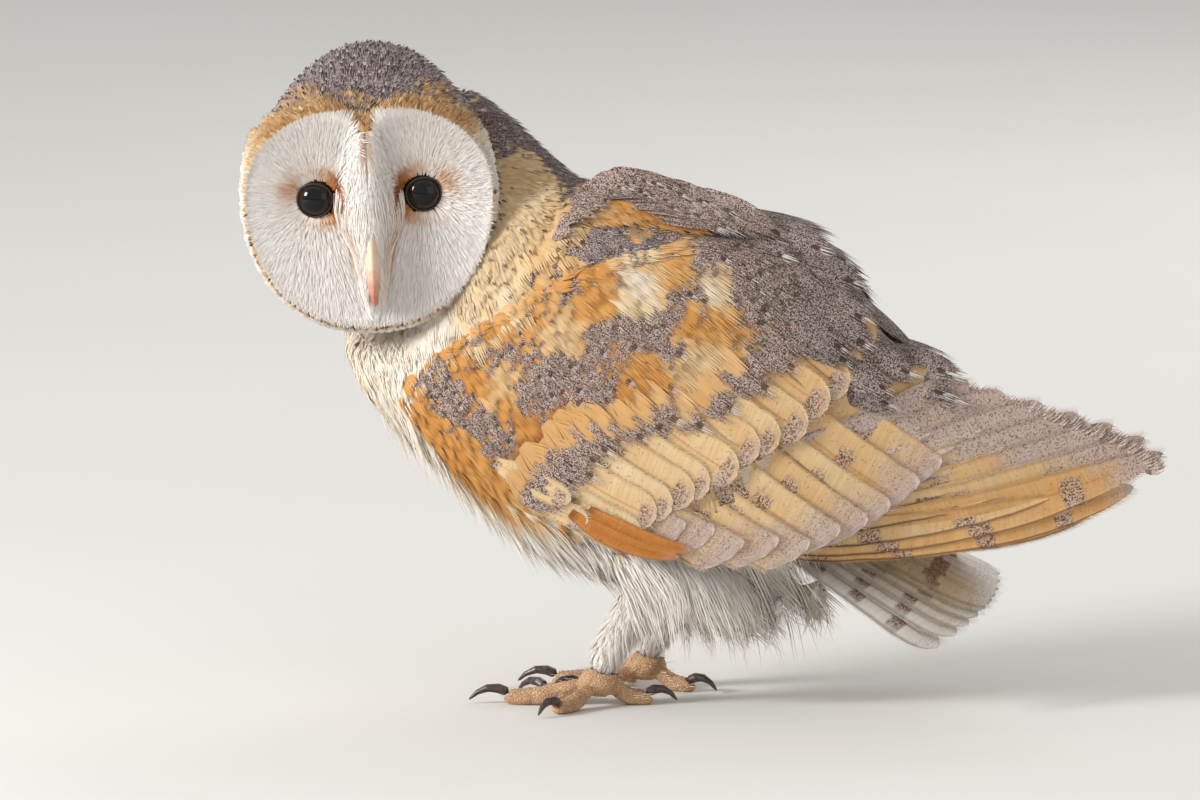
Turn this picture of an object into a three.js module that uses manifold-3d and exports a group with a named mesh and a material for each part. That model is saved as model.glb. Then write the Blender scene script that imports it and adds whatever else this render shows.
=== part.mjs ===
// A standing barn owl at life size, in millimetres, +Z up.
// The bird faces -X, its left side is -Y, and it stands on z = 0. Its head is turned to its left.
// Flesh is made as lofts between a low and a high line of the side view, and parted by its neighbours.
import * as THREE from 'three';
import { mergeVertices } from 'three/addons/utils/BufferGeometryUtils.js';
import Module from 'manifold-3d';

const wasm = await Module();
wasm.setup();

const GAP = 0.3; // between pieces that meet
const WELD = 1e-4; // vertices closer than this are one
const FAR = 400; // reach of a cutting prism
const LEFT = -1; // side of the bird, as the sign of y
const RIGHT = 1;

// Colours of the coat and the bare parts.
const COLOURS = {
  white: 0xf0ebe2,
  gold: 0xd9a65c,
  buff: 0xe2c08c,
  pale: 0xeadfcb,
  horn: 0xd9b3a2,
  claw: 0x4a3c36,
  toe: 0xa9784c,
  eye: 0x17110e,
};

// Side view of the flesh: each row is a low point, a high point and the half width.
const TRUNK = [
  { low: [-99, 124], high: [-104, 146], middle: 0, width: 22 },
  { low: [-82, 105], high: [-78, 148], middle: 0, width: 34 },
  { low: [-37, 61], high: [-22, 199], middle: 0, width: 48 },
  { low: [-5, 47], high: [22, 199], middle: 0, width: 53 },
  { low: [32, 47], high: [62, 192], middle: 0, width: 51 },
  { low: [68, 55], high: [93, 173], middle: 0, width: 42 },
  { low: [102, 70], high: [120, 142], middle: 0, width: 26 },
];
const NECK = [
  { low: [-72, 118], high: [-3, 199], middle: 0, width: 41 },
  { low: [-92, 126], high: [-19, 212], middle: 4, width: 31 },
  { low: [-104, 140], high: [-36, 227], middle: 7, width: 27 },
  { low: [-110, 164], high: [-60, 242.5], middle: 9, width: 22 },
];
const FLANK = { sides: 22, rings: 14, power: 2.15 }; // facets and fullness of the trunk
const COVERT_PROUD = 4.5; // folded wing above the flank
const COVERT_SUNK = 2.5; // and below it

// Head, measured from a point between the eyes, deep in the skull.
const HEAD = {
  place: [-87.9, -10, 197.3],
  turn: 8, // degrees from straight left, towards the tail
  roll: 3.3,
  rim: 30, // the disc's rim ahead of the centre
  rimSweep: 6.5, // how far its sides lie further back
  halfWidth: 47.5,
  down: 50.5,
  up: 34.5,
  notch: 7.5, // dip of the disc's top between its lobes
  notchWidth: 9,
  dish: 5.5,
  dishPower: 2.4, // how steeply the dish rises to its rim
  ridge: 10.5, // central ridge above the dish
  ridgeWidth: 8,
  ridgeLevel: -16, // its highest place, and how far it runs up and down from there
  ridgeUp: 46,
  ridgeDown: 30,
  fullTop: 2.5, // fullness of the disc's outline
  fullBottom: 2.2,
  rimShare: 0.62, // share of the rings behind the rim
  backShare: 0.16, // share of the skull that closes its back
  backLevel: 6, // level of the occiput's middle
};
// The skull behind the disc, from the occiput forwards.
const SKULL = [
  { at: -44, up: 28, down: 18, half: 22 },
  { at: -35, up: 40, down: 28, half: 31 },
  { at: -20, up: 52, down: 37, half: 39 },
  { at: -4, up: 57.5, down: 43, half: 44 },
  { at: 10, up: 54, down: 47.5, half: 47 },
  { at: 21, up: 44, down: 50.5, half: 48.5 },
];
const CROWN_LEAN = 2.5; // the crown leans towards the bird's back
const EYE = { radius: 9, apart: 40.5, depth: 18.4 };
const UPPER_BILL = [
  { at: [30, -12], half: 3.4, deep: 3.6 },
  { at: [36.5, -21], half: 3.7, deep: 4.4 },
  { at: [38.5, -31], half: 2.8, deep: 3.6 },
  { at: [35.5, -40.5], half: 1.1, deep: 1.3 },
];
const LOWER_BILL = [
  { at: [25, -24], half: 2.6, deep: 1.6 },
  { at: [29.5, -32], half: 2.6, deep: 1.8 },
  { at: [32.2, -38.2], half: 1.6, deep: 1.2 },
];

// Side outline of the folded wing's coverts, and the lines on which its flight feathers start.
const WING_FRONT = [[-20, 74], [-44, 83], [-62, 99], [-74, 117], [-68, 132], [-50, 146], [-25, 162]];
const WING_BACK = [[-25, 162], [5, 176], [44, 185], [80, 178], [104, 160], [112, 148]];
const QUILL_LINE = [[112, 148], [95, 142], [72, 127], [46, 111], [23, 95], [7, 84], [-4, 76], [-20, 74]];
const SECONDARY_TIPS = [
  [30, 66], [42, 63], [70, 59], [95, 66], [114, 80], [131, 95], [143, 108], [146, 124], [139, 140],
];
const SECONDARY_ROOTS = [[-10, 73], [7, 83], [23, 95], [46, 110], [72, 126], [95, 141], [112, 147]];
const PRIMARY_LOWER = [[42, 64], [70, 59], [110, 59], [150, 63], [180, 71], [201, 81], [214, 91]];
const PRIMARY_UPPER = [[42, 78], [75, 100], [110, 117], [148, 119.5], [178, 111.5], [201, 104], [215, 97]];
const WING_MIDDLE = [20, 125];
const OUTLINE_STEPS = 2; // facets between two points of the wing's outline
const SECONDARY_COUNT = 13;
const PRIMARY_STEPS = 7;
const SCALLOP = { secondary: 3.5, primary: 2, blunt: 0.7 }; // how far rounded tips stand out, and how blunt
const NEAREST = 2; // flight feathers stay this far from the midline
const ROOM = { outward: 30, slack: 0.5, columns: 8 }; // room that a trunk leaves for feathers lying on it
const FEATHER_THICKNESS = 2.4;
const PRIMARY_INSET = 3.6; // primaries lie this much nearer the midline than secondaries
const SIDE_WIDTH = [[-20, 54], [20, 55.5], [60, 53], [95, 46], [125, 36], [155, 27], [185, 20], [216, 14]];
const SIDE_HEIGHT = [[-20, 96], [60, 96], [110, 82], [150, 72], [216, 72]]; // half height of that side
const SIDE_LEVEL = [[-20, 108], [60, 104], [100, 84], [150, 66], [190, 76], [216, 84]]; // where it is widest
// The far wing hangs a little lower, and its hand is folded a little shorter.
const FAR_WING = { pivot: [0, 110], drop: 4, hand: 42, fold: 0.9 };

const TAIL = {
  base: [56, 86],
  length: 96,
  down: 32,
  roll: 18,
  baseHalf: 15,
  tipHalf: 36,
  rounding: 11,
  arch: 5,
  count: 12,
  scallop: 4,
  thickness: 3,
};

// Legs, given for the left side; the right leg stands further back.
const LEG = { left: [3, -22], right: [15, 21] };
const THIGH = [
  { at: [2, -3, 76], high: 17, half: 15 },
  { at: [27, -4, 55], high: 20, half: 17 },
  { at: [53, 0, 44], high: 15, half: 15 },
  { at: [80, 7, 35], high: 8, half: 8 },
];
const TARSUS = [
  { at: [0, 0, 13], high: 7, half: 7.2 },
  { at: [6, 0, 26], high: 7.5, half: 7.5 },
  { at: [16.5, 0, 42], high: 9.8, half: 9.8 },
  { at: [24, 0, 58], high: 9.5, half: 9.5 },
];
const FOOT = { level: 9.5, radius: 8.2, long: 1.12, flat: 0.86 };
// Toes by name: direction in degrees from straight ahead, outwards, then lengths and thickness.
const TOES = {
  inner: { turn: -34, reach: 31, radius: 3.9, claw: 15 },
  middle: { turn: 3, reach: 38, radius: 4.1, claw: 16 },
  outer: { turn: 62, reach: 30, radius: 3.8, claw: 13.5 },
  hind: { turn: 197, reach: 21, radius: 3.8, claw: 12.5 },
};
const SOLE = 0.9; // how much of a toe's roundness is flattened on the floor
// A toe from the foot to its tip: share of its reach, rise above its sole, and share of its radius.
const TOE_SHAPE = [
  { share: 0.09, rise: 5.4, thick: 0.9 },
  { share: 0.33, rise: 3.2, thick: 1 },
  { share: 0.6, rise: 0.5, thick: 1.05 },
  { share: 0.82, rise: 0, thick: 1 },
  { share: 1, rise: 0.6, thick: 0.75 },
];
// A claw from its root to its tip: share of its length, rise above the toe's middle, and radius.
const CLAW_ROOT = 3; // how far the root lies inside the toe's tip
const CLAW_SHAPE = [
  { share: 0, rise: 1.4, radius: 2.3 },
  { share: 0.35, rise: 3.2, radius: 2 },
  { share: 0.7, rise: 2, radius: 1.35 },
  { share: 1, rise: -2, radius: 0.5 },
];

/** Reads a smooth curve through rows of numbers at t, from 0 to 1. */
function along(rows, t) {
  const place = Math.min(Math.max(t, 0), 1) * (rows.length - 1);
  const i = Math.min(Math.floor(place), rows.length - 2);
  const f = place - i;
  const [b, c] = [rows[i], rows[i + 1]];
  const a = i > 0 ? rows[i - 1] : b.map((v, k) => 2 * v - c[k]);
  const d = i + 2 < rows.length ? rows[i + 2] : c.map((v, k) => 2 * v - b[k]);
  return b.map((v, k) => {
    const bend = 2 * a[k] - 5 * v + 4 * c[k] - d[k];
    const twist = 3 * (v - c[k]) + d[k] - a[k];
    return v + 0.5 * f * (c[k] - a[k] + f * (bend + f * twist));
  });
}

/** Reads a table of [place, value] rows at a place, smoothly between rows. */
function lookUp(table, place) {
  const last = table.length - 1;
  if (place <= table[0][0]) return table[0][1];
  if (place >= table[last][0]) return table[last][1];
  const i = table.findIndex((row) => row[0] > place) - 1;
  const f = (place - table[i][0]) / (table[i + 1][0] - table[i][0]);
  return along(table, (i + f) / last)[1];
}

const radians = THREE.MathUtils.degToRad;
const lerp = THREE.MathUtils.lerp;

/** Signed power, for sections squarer or rounder than an ellipse. */
function bulge(value, power) {
  return Math.sign(value) * Math.abs(value) ** (2 / power);
}

/** Turns a closed geometry into a manifold solid. */
function solid(geometry) {
  const bare = geometry.clone();
  bare.deleteAttribute('normal');
  bare.deleteAttribute('uv');
  const merged = mergeVertices(bare, WELD);
  const vertProperties = new Float32Array(merged.attributes.position.array);
  const triVerts = new Uint32Array(merged.index.array);
  return new wasm.Manifold(new wasm.Mesh({ numProp: 3, vertProperties, triVerts }));
}

/** Maps each vertex of a geometry through a function of its position. */
function mapped(geometry, place) {
  const position = geometry.attributes.position;
  const vertex = new THREE.Vector3();
  for (let i = 0; i < position.count; i += 1) {
    vertex.fromBufferAttribute(position, i);
    const [x, y, z] = place(vertex);
    position.setXYZ(i, x, y, z);
  }
  return geometry;
}

/** How full a section is at t, rounding both ends of a loft over a share of its length. */
function endRounding(t, share) {
  const near = Math.max(0, 1 - Math.min(t, 1 - t) / share);
  return Math.sqrt(1 - near * near);
}

/** Outward shift of an end, for a loft that is grown. */
function endShift(t, share) {
  if (t < share) return -(1 - t / share);
  return t > 1 - share ? 1 - (1 - t) / share : 0;
}

/**
 * A closed loft. section(t) gives its centre, two half axes and the way along, as arrays.
 * It is a sphere whose poles are the two ends.
 */
function loft(section, { sides, rings, share = 0.14, power = 2, grow = 0 }) {
  return mapped(new THREE.SphereGeometry(1, sides, rings), ({ x, y, z }) => {
    const t = (1 - y) / 2;
    const round = endRounding(t, share);
    const ring = Math.hypot(x, z) || 1;
    const up = bulge(z / ring, power) * round;
    const side = bulge(x / ring, power) * round;
    const { centre, high, wide, ahead } = section(t);
    const highSize = Math.hypot(...high);
    const wideSize = Math.hypot(...wide);
    const shift = endShift(t, share) * grow;
    return centre.map((c, k) => c + ahead[k] * shift
      + high[k] * up * (1 + grow / highSize)
      + wide[k] * side * (1 + grow / wideSize));
  });
}

/** A loft between low and high points of the side view, with a half width. */
function flesh(rows, options) {
  const flat = rows.map(({ low, high, middle, width }) => [...low, ...high, middle, width]);
  const centre = (t) => {
    const [lowX, lowZ, highX, highZ, y] = along(flat, t);
    return new THREE.Vector3((lowX + highX) / 2, y, (lowZ + highZ) / 2);
  };
  return facingOut(loft((t) => {
    const [lowX, lowZ, highX, highZ, , width] = along(flat, t);
    const ahead = centre(t + 0.01).sub(centre(t - 0.01)).normalize();
    return {
      centre: centre(t).toArray(),
      high: [(highX - lowX) / 2, 0, (highZ - lowZ) / 2],
      wide: [0, width, 0],
      ahead: ahead.toArray(),
    };
  }, options));
}

/** A limb: a loft square to its own path, from rows of a place, a half height and a half width. */
function limb(rows, options) {
  const flat = rows.map(({ at, high, half }) => [...at, high, half]);
  const point = (t) => new THREE.Vector3(...along(flat, t));
  return facingOut(loft((t) => {
    const [, , , high, half] = along(flat, t);
    const ahead = point(t + 0.02).sub(point(t - 0.02)).normalize();
    const wide = new THREE.Vector3(-ahead.y, ahead.x, 0);
    if (wide.length() < 0.2 || options.sideways) wide.set(0, 1, 0);
    wide.normalize();
    const up = new THREE.Vector3().crossVectors(ahead, wide).normalize();
    return {
      centre: point(t).toArray(),
      high: up.multiplyScalar(high).toArray(),
      wide: wide.multiplyScalar(half).toArray(),
      ahead: ahead.toArray(),
    };
  }, options));
}

/** Placement of the head: its own x is forwards out of the face, y the bird's left-hand rim, z up. */
function headMatrix() {
  const turn = radians(HEAD.turn);
  const forward = new THREE.Vector3(Math.sin(turn), -Math.cos(turn), 0);
  const across = new THREE.Vector3(Math.cos(turn), Math.sin(turn), 0);
  const roll = radians(HEAD.roll);
  const side = across.clone().multiplyScalar(Math.cos(roll)).add(new THREE.Vector3(0, 0, Math.sin(roll)));
  const up = new THREE.Vector3().crossVectors(forward, side);
  const matrix = new THREE.Matrix4().makeBasis(forward, side, up);
  return matrix.setPosition(...HEAD.place);
}

/** Moves a geometry that is given in the head's own frame into the bird's frame. */
function onHead(geometry) {
  return facingOut(geometry.applyMatrix4(headMatrix()));
}

/** Outline of the facial disc at an angle, as [across, up]. */
function discEdge(angle, grow) {
  const rise = Math.sin(angle) > 0 ? HEAD.up : HEAD.down;
  const power = Math.sin(angle) > 0 ? HEAD.fullTop : HEAD.fullBottom;
  const side = bulge(Math.cos(angle), power) * (HEAD.halfWidth + grow);
  const high = bulge(Math.sin(angle), power) * (rise + grow);
  const dip = Math.sin(angle) > 0 ? HEAD.notch * Math.exp(-((side / HEAD.notchWidth) ** 2)) : 0;
  return [side, high - dip];
}

/** How far forward the face stands at a place on it. */
function faceDepth(side, high, fromCentre) {
  const sweep = HEAD.rim - HEAD.rimSweep * (side / HEAD.halfWidth) ** 2;
  const dish = HEAD.dish * (1 - fromCentre ** HEAD.dishPower);
  const fromPeak = high - HEAD.ridgeLevel;
  const length = fromPeak / (fromPeak > 0 ? HEAD.ridgeUp : HEAD.ridgeDown);
  const ridge = HEAD.ridge * Math.exp(-((side / HEAD.ridgeWidth) ** 2)) * Math.max(0, 1 - length ** 2);
  return sweep - dish + ridge;
}

/** The head with its facial disc, from the occiput to the middle of the face. */
function headForm(grow) {
  const skull = SKULL.map(({ at, up, down, half }) => [at, up, down, half]);
  const geometry = new THREE.SphereGeometry(1, 28, 18);
  return onHead(mapped(geometry, ({ x, y, z }) => {
    const t = Math.acos(THREE.MathUtils.clamp(y, -1, 1)) / Math.PI;
    const angle = Math.atan2(-z, x);
    if (t > HEAD.rimShare) {
      const fromCentre = (1 - t) / (1 - HEAD.rimShare);
      const [edgeSide, edgeHigh] = discEdge(angle, grow);
      const [side, high] = [edgeSide * fromCentre, edgeHigh * fromCentre];
      return [faceDepth(side, high, fromCentre) + grow, side, high];
    }
    const share = t / HEAD.rimShare;
    const [at, up, down, half] = along(skull, share);
    const closing = Math.min(share / HEAD.backShare, 1);
    const round = Math.sqrt(1 - (1 - closing) ** 2);
    const rise = Math.sin(angle) > 0 ? up : down;
    const lean = CROWN_LEAN * Math.max(Math.sin(angle), 0);
    return [
      at - grow * (1 - round),
      (Math.cos(angle) * (half + grow) + lean) * round,
      Math.sin(angle) * (rise + grow) * round + HEAD.backLevel * (1 - round),
    ];
  }));
}

/** One eyeball; side is its sign across the face. */
function eyeball(side, grow) {
  const geometry = new THREE.SphereGeometry(EYE.radius + grow, 12, 8);
  return onHead(geometry.translate(EYE.depth, (side * EYE.apart) / 2, 0));
}

/** Half of the bill, from rows of a place in the face's own side view. */
function billForm(rows, grow) {
  const flat = rows.map(({ at, half, deep }) => [...at, half, deep]);
  return onHead(loft((t) => {
    const [forward, high, half, deep] = along(flat, t);
    const [nextForward, nextHigh] = along(flat, t + 0.02);
    const [backForward, backHigh] = along(flat, t - 0.02);
    const ahead = new THREE.Vector3(nextForward - backForward, 0, nextHigh - backHigh).normalize();
    return {
      centre: [forward, 0, high],
      high: [-ahead.z * deep, 0, ahead.x * deep],
      wide: [0, half, 0],
      ahead: ahead.toArray(),
    };
  }, { sides: 8, rings: 8, share: 0.2, grow }));
}

/** Distance of the folded flight feathers from the midline, at a place of the side view. */
function sideDepth(x, z) {
  const high = Math.min(Math.abs(z - lookUp(SIDE_LEVEL, x)) / lookUp(SIDE_HEIGHT, x), 0.9);
  return lookUp(SIDE_WIDTH, x) * Math.sqrt(1 - high * high);
}

/** Places a point of the side view on one wing: the far wing is turned down about its shoulder. */
function onWing(side, x, y, z) {
  const drop = side === RIGHT ? radians(FAR_WING.drop) : 0;
  const hand = side === RIGHT ? Math.max(x - FAR_WING.hand, 0) : 0;
  const folded = x - hand * (1 - FAR_WING.fold);
  const [px, pz] = [folded - FAR_WING.pivot[0], z - FAR_WING.pivot[1]];
  return [
    FAR_WING.pivot[0] + px * Math.cos(drop) + pz * Math.sin(drop),
    side * y,
    FAR_WING.pivot[1] + pz * Math.cos(drop) - px * Math.sin(drop),
  ];
}

/**
 * A bent plate between two edges of the side view, read at a share along each.
 * inner and outer are its faces' distances from the lie of the side; step shapes its far edge.
 */
function plate(side, first, second, { columns, across, inner, outer, step = () => 0, grow = 0 }) {
  const geometry = mapped(new THREE.BoxGeometry(1, 1, 1, columns, 1, across), ({ x, y, z }) => {
    const u = x + 0.5;
    const v = z + 0.5;
    const [ax, az] = along(first, u);
    const [bx, bz] = along(second, u);
    const span = Math.hypot(bx - ax, bz - az);
    const reach = v * (1 + (step(u) + grow) / span) - ((1 - v) * grow) / span;
    const px = lerp(ax, bx, reach) + grow * x * 2;
    const pz = lerp(az, bz, reach);
    const depth = sideDepth(px, pz) + (y < 0 ? inner - grow : outer + grow);
    return onWing(side, px, Math.max(depth, NEAREST), pz);
  });
  return facingOut(geometry);
}

/** A solid from a geometry whose mapping may have turned it inside out. */
function facingOut(geometry) {
  const made = solid(geometry);
  if (made.volume() > 0) return made;
  const index = geometry.index;
  for (let i = 0; i < index.count; i += 3) {
    const first = index.getX(i);
    index.setX(i, index.getX(i + 2));
    index.setX(i + 2, first);
  }
  return solid(geometry);
}

/** Rounded feather tips along an edge: how far each stands out. */
function scallops(count, height) {
  return (u) => height * Math.abs(Math.sin(Math.PI * u * count)) ** SCALLOP.blunt;
}

/** Flight feathers of the arm, in one plate with a scalloped edge. */
function secondaries(side, grow) {
  return plate(side, SECONDARY_ROOTS, SECONDARY_TIPS, {
    columns: SECONDARY_COUNT * 2,
    across: 2,
    inner: 0,
    outer: FEATHER_THICKNESS,
    step: scallops(SECONDARY_COUNT, SCALLOP.secondary),
    grow,
  });
}

/** Flight feathers of the hand, in one pointed plate whose upper edge is stepped. */
function primaries(side, grow) {
  return plate(side, PRIMARY_LOWER, PRIMARY_UPPER, {
    columns: PRIMARY_STEPS * 2,
    across: 2,
    inner: -PRIMARY_INSET,
    outer: FEATHER_THICKNESS - PRIMARY_INSET,
    step: scallops(PRIMARY_STEPS, SCALLOP.primary),
    grow,
  });
}

/** Room beside the trunk for a plate of feathers: open outwards, with few facets. */
function besideTrunk(side, first, second, inner) {
  return plate(side, first, second, {
    columns: ROOM.columns,
    across: 2,
    inner: inner - ROOM.slack,
    outer: ROOM.outward,
    step: () => SCALLOP.secondary,
    grow: GAP,
  });
}

/** The covert part of a folded wing: a shell of the flank inside the wing's side outline. */
function wingShell(side, grow) {
  const outline = new THREE.Shape();
  outline.moveTo(...onWing(side, WING_FRONT[0][0], 0, WING_FRONT[0][1]).filter((_, k) => k !== 1));
  for (const edge of [WING_FRONT, WING_BACK, QUILL_LINE]) {
    const points = edge.map(([x, z]) => onWing(side, x, 0, z));
    outline.splineThru(points.slice(1).map(([x, , z]) => new THREE.Vector2(x, z)));
  }
  const middle = new THREE.Vector2(...WING_MIDDLE);
  const points = outline.getPoints(OUTLINE_STEPS).map((point) => {
    const away = point.clone().sub(middle);
    return point.clone().add(away.setLength(grow));
  });
  const prism = new THREE.ExtrudeGeometry(new THREE.Shape(points), { depth: FAR, bevelEnabled: false });
  prism.rotateX(Math.PI / 2);
  if (side === RIGHT) prism.translate(0, FAR, 0);
  const proud = flesh(TRUNK, { ...FLANK, grow: COVERT_PROUD + grow });
  const sunk = flesh(TRUNK, { ...FLANK, grow: -COVERT_SUNK - grow });
  return solid(prism).intersect(proud).subtract(sunk);
}

/** The tail: twelve feathers closed in one fan, rolled a little to the bird's left. */
function tailFan(grow, columns = TAIL.count * 2) {
  const down = radians(TAIL.down);
  const roll = radians(TAIL.roll);
  const tips = scallops(TAIL.count, TAIL.scallop);
  const geometry = new THREE.BoxGeometry(1, 1, 1, 3, columns, 1);
  return facingOut(mapped(geometry, ({ x, y, z }) => {
    const u = x + 0.5;
    const v = y * 2;
    const edge = u === 1 ? tips(y + 0.5) - TAIL.scallop : 0;
    const length = u * (TAIL.length - TAIL.rounding * v * v + edge) + grow * x * 2;
    const across = v * (lerp(TAIL.baseHalf, TAIL.tipHalf, u ** 0.9) + grow);
    const face = z * (TAIL.thickness + 2 * grow);
    const high = across * Math.sin(roll) - TAIL.arch * v * v * u;
    return [
      TAIL.base[0] + length * Math.cos(down) + face * Math.sin(down),
      across * Math.cos(roll),
      TAIL.base[1] - length * Math.sin(down) + high + face * Math.cos(down),
    ];
  }));
}

/** Rows of a limb moved to one leg, mirrored for the right one. */
function onLeg(side, rows) {
  const [x, y] = side === LEFT ? LEG.left : LEG.right;
  return rows.map(({ at, high, half }) => ({ at: [x + at[0], y - side * at[1], at[2]], high, half }));
}

/** The feathered upper leg, which hangs behind the tarsus. */
function thigh(side, grow) {
  return limb(onLeg(side, THIGH), { sides: 12, rings: 7, share: 0.24, sideways: true, grow });
}

/** The feathered lower leg. */
function tarsus(side, grow) {
  return limb(onLeg(side, TARSUS), { sides: 10, rings: 7, share: 0.1, sideways: true, grow });
}

/** Keeps what lies above the floor, which leaves small flats where a toe presses on it. */
function aboveFloor(form) {
  const floor = new THREE.BoxGeometry(FAR, FAR, FAR).translate(0, 0, -FAR / 2);
  return form.subtract(solid(floor));
}

/** The way a toe points, in the floor's plane. */
function toeWay(side, turn) {
  const angle = radians(turn);
  return [-Math.cos(angle), side * Math.sin(angle)];
}

/** A round limb along the way a toe points, from rows of a reach, a level and a radius. */
function digit(side, turn, rows, options) {
  const [x, y] = side === LEFT ? LEG.left : LEG.right;
  const [dx, dy] = toeWay(side, turn);
  return limb(rows.map(([reach, level, radius]) => ({
    at: [x + dx * reach, y + dy * reach, level],
    high: radius,
    half: radius,
  })), options);
}

/** One toe, arched from the foot to a padded tip. */
function toe(side, { turn, reach, radius }, grow) {
  const level = radius - SOLE;
  const rows = TOE_SHAPE.map(({ share, rise, thick }) => [reach * share, level + rise, radius * thick]);
  return digit(side, turn, rows, { sides: 8, rings: 6, share: 0.1, grow });
}

/** One claw, curved down to the floor. */
function claw(side, { turn, reach, radius, claw: length }, grow) {
  const rows = CLAW_SHAPE.map(({ share, rise, radius: thick }) => [
    reach - CLAW_ROOT + length * share,
    radius - SOLE + rise,
    thick,
  ]);
  return digit(side, turn, rows, { sides: 6, rings: 6, share: 0.12, grow });
}

/** The ball where the toes meet. */
function footBall(side, grow) {
  const [x, y] = side === LEFT ? LEG.left : LEG.right;
  const ball = new THREE.SphereGeometry(FOOT.radius + grow, 10, 7);
  ball.scale(FOOT.long, 1, FOOT.flat);
  return solid(ball.translate(x, y, FOOT.level));
}

/** The largest body of a solid, without the crumbs a cut may leave. */
function mainBody(form) {
  const bodies = form.decompose();
  return bodies.reduce((best, body) => (body.volume() > best.volume() ? body : best));
}

const owl = new THREE.Group();

/** Adds a solid as a named sub-part. */
function addPart(name, form, colour, roughness = 0.85) {
  const { vertProperties, triVerts } = mainBody(form).getMesh();
  const geometry = new THREE.BufferGeometry();
  geometry.setAttribute('position', new THREE.BufferAttribute(new Float32Array(vertProperties), 3));
  geometry.setIndex(new THREE.BufferAttribute(new Uint32Array(triVerts), 1));
  const material = new THREE.MeshStandardMaterial({ color: COLOURS[colour], roughness, metalness: 0 });
  const mesh = new THREE.Mesh(geometry, material);
  mesh.name = name;
  owl.add(mesh);
}

/** Cuts every one of several solids from a form. */
function without(form, cutters) {
  return cutters.reduce((rest, cutter) => rest.subtract(cutter), form);
}

// Head.
const SIDES = [['left', LEFT], ['right', RIGHT]];
const eyes = SIDES.map(([name, side]) => [name, -side]);
const bills = (grow) => [billForm(UPPER_BILL, grow), billForm(LOWER_BILL, grow)];
const eyeballs = (grow) => eyes.map(([, side]) => eyeball(side, grow));
addPart('head', without(headForm(0), [...bills(GAP), ...eyeballs(GAP)]), 'white');
addPart('bill_upper', billForm(UPPER_BILL, 0), 'horn', 0.45);
addPart('bill_lower', billForm(LOWER_BILL, 0).subtract(billForm(UPPER_BILL, GAP)), 'horn', 0.45);
for (const [name, side] of eyes) addPart(`eye_${name}`, eyeball(side, 0), 'eye', 0.1);

// Neck, parted from the head by the head's own back.
const headRoom = headForm(GAP);
const neckForm = (grow) => flesh(NECK, { sides: 18, rings: 9, share: 0.12, power: 2.1, grow });
addPart('neck', neckForm(0).subtract(headRoom), 'buff');

// Legs and feet.
const neckRoom = neckForm(GAP);
const legRoom = [];
for (const [name, side] of SIDES) {
  const tarsusRoom = tarsus(side, GAP);
  const toes = Object.entries(TOES);
  const taken = [footBall(side, GAP), tarsusRoom];
  for (const [toeName, size] of toes) {
    const body = aboveFloor(without(toe(side, size, 0), [claw(side, size, GAP), ...taken]));
    addPart(`toe_${toeName}_${name}`, body, 'toe', 0.7);
    taken.push(toe(side, size, GAP));
    addPart(`claw_${toeName}_${name}`, aboveFloor(claw(side, size, 0)), 'claw', 0.35);
  }
  addPart(`foot_${name}`, aboveFloor(footBall(side, 0).subtract(tarsusRoom)), 'toe', 0.7);
  addPart(`tarsus_${name}`, tarsus(side, 0), 'white');
  addPart(`thigh_${name}`, thigh(side, 0).subtract(tarsusRoom), 'white');
  legRoom.push(tarsusRoom, thigh(side, GAP));
}

// Wings: coverts over secondaries over primaries.
const featherRoom = [];
const bladeRoom = [];
const shellRoom = [];
const frontRoom = [headRoom, neckRoom];
for (const [name, side] of SIDES) {
  const shell = wingShell(side, 0);
  const shellGap = wingShell(side, GAP);
  const armGap = secondaries(side, GAP);
  addPart(`wing_${name}`, without(shell, frontRoom), 'gold');
  addPart(`secondaries_${name}`, without(secondaries(side, 0), [shellGap, ...frontRoom]), 'buff');
  addPart(`primaries_${name}`, without(primaries(side, 0), [shellGap, armGap, ...frontRoom]), 'gold');
  featherRoom.push(
    besideTrunk(side, SECONDARY_ROOTS, SECONDARY_TIPS, 0),
    besideTrunk(side, PRIMARY_LOWER, PRIMARY_UPPER, -PRIMARY_INSET),
  );
  bladeRoom.push(armGap, primaries(side, GAP));
  shellRoom.push(shellGap);
}

// Tail and trunk.
const trunkForm = flesh(TRUNK, FLANK);
addPart('tail', without(tailFan(0), [...legRoom, ...bladeRoom]), 'pale');
const tailRoom = tailFan(ROOM.slack, ROOM.columns);
const trunkRoom = [...frontRoom, tailRoom, ...legRoom, ...shellRoom, ...featherRoom];
addPart('trunk', without(trunkForm, trunkRoom), 'white');

// The origin is on the floor, under the middle of the whole bird.
const box = new THREE.Box3().setFromObject(owl);
const centre = box.getCenter(new THREE.Vector3());
owl.position.set(-centre.x, -centre.y, -box.min.z);
owl.updateMatrixWorld(true);

export default owl;
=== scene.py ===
"""A barn owl at life size, feather by feather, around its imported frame."""

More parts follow.
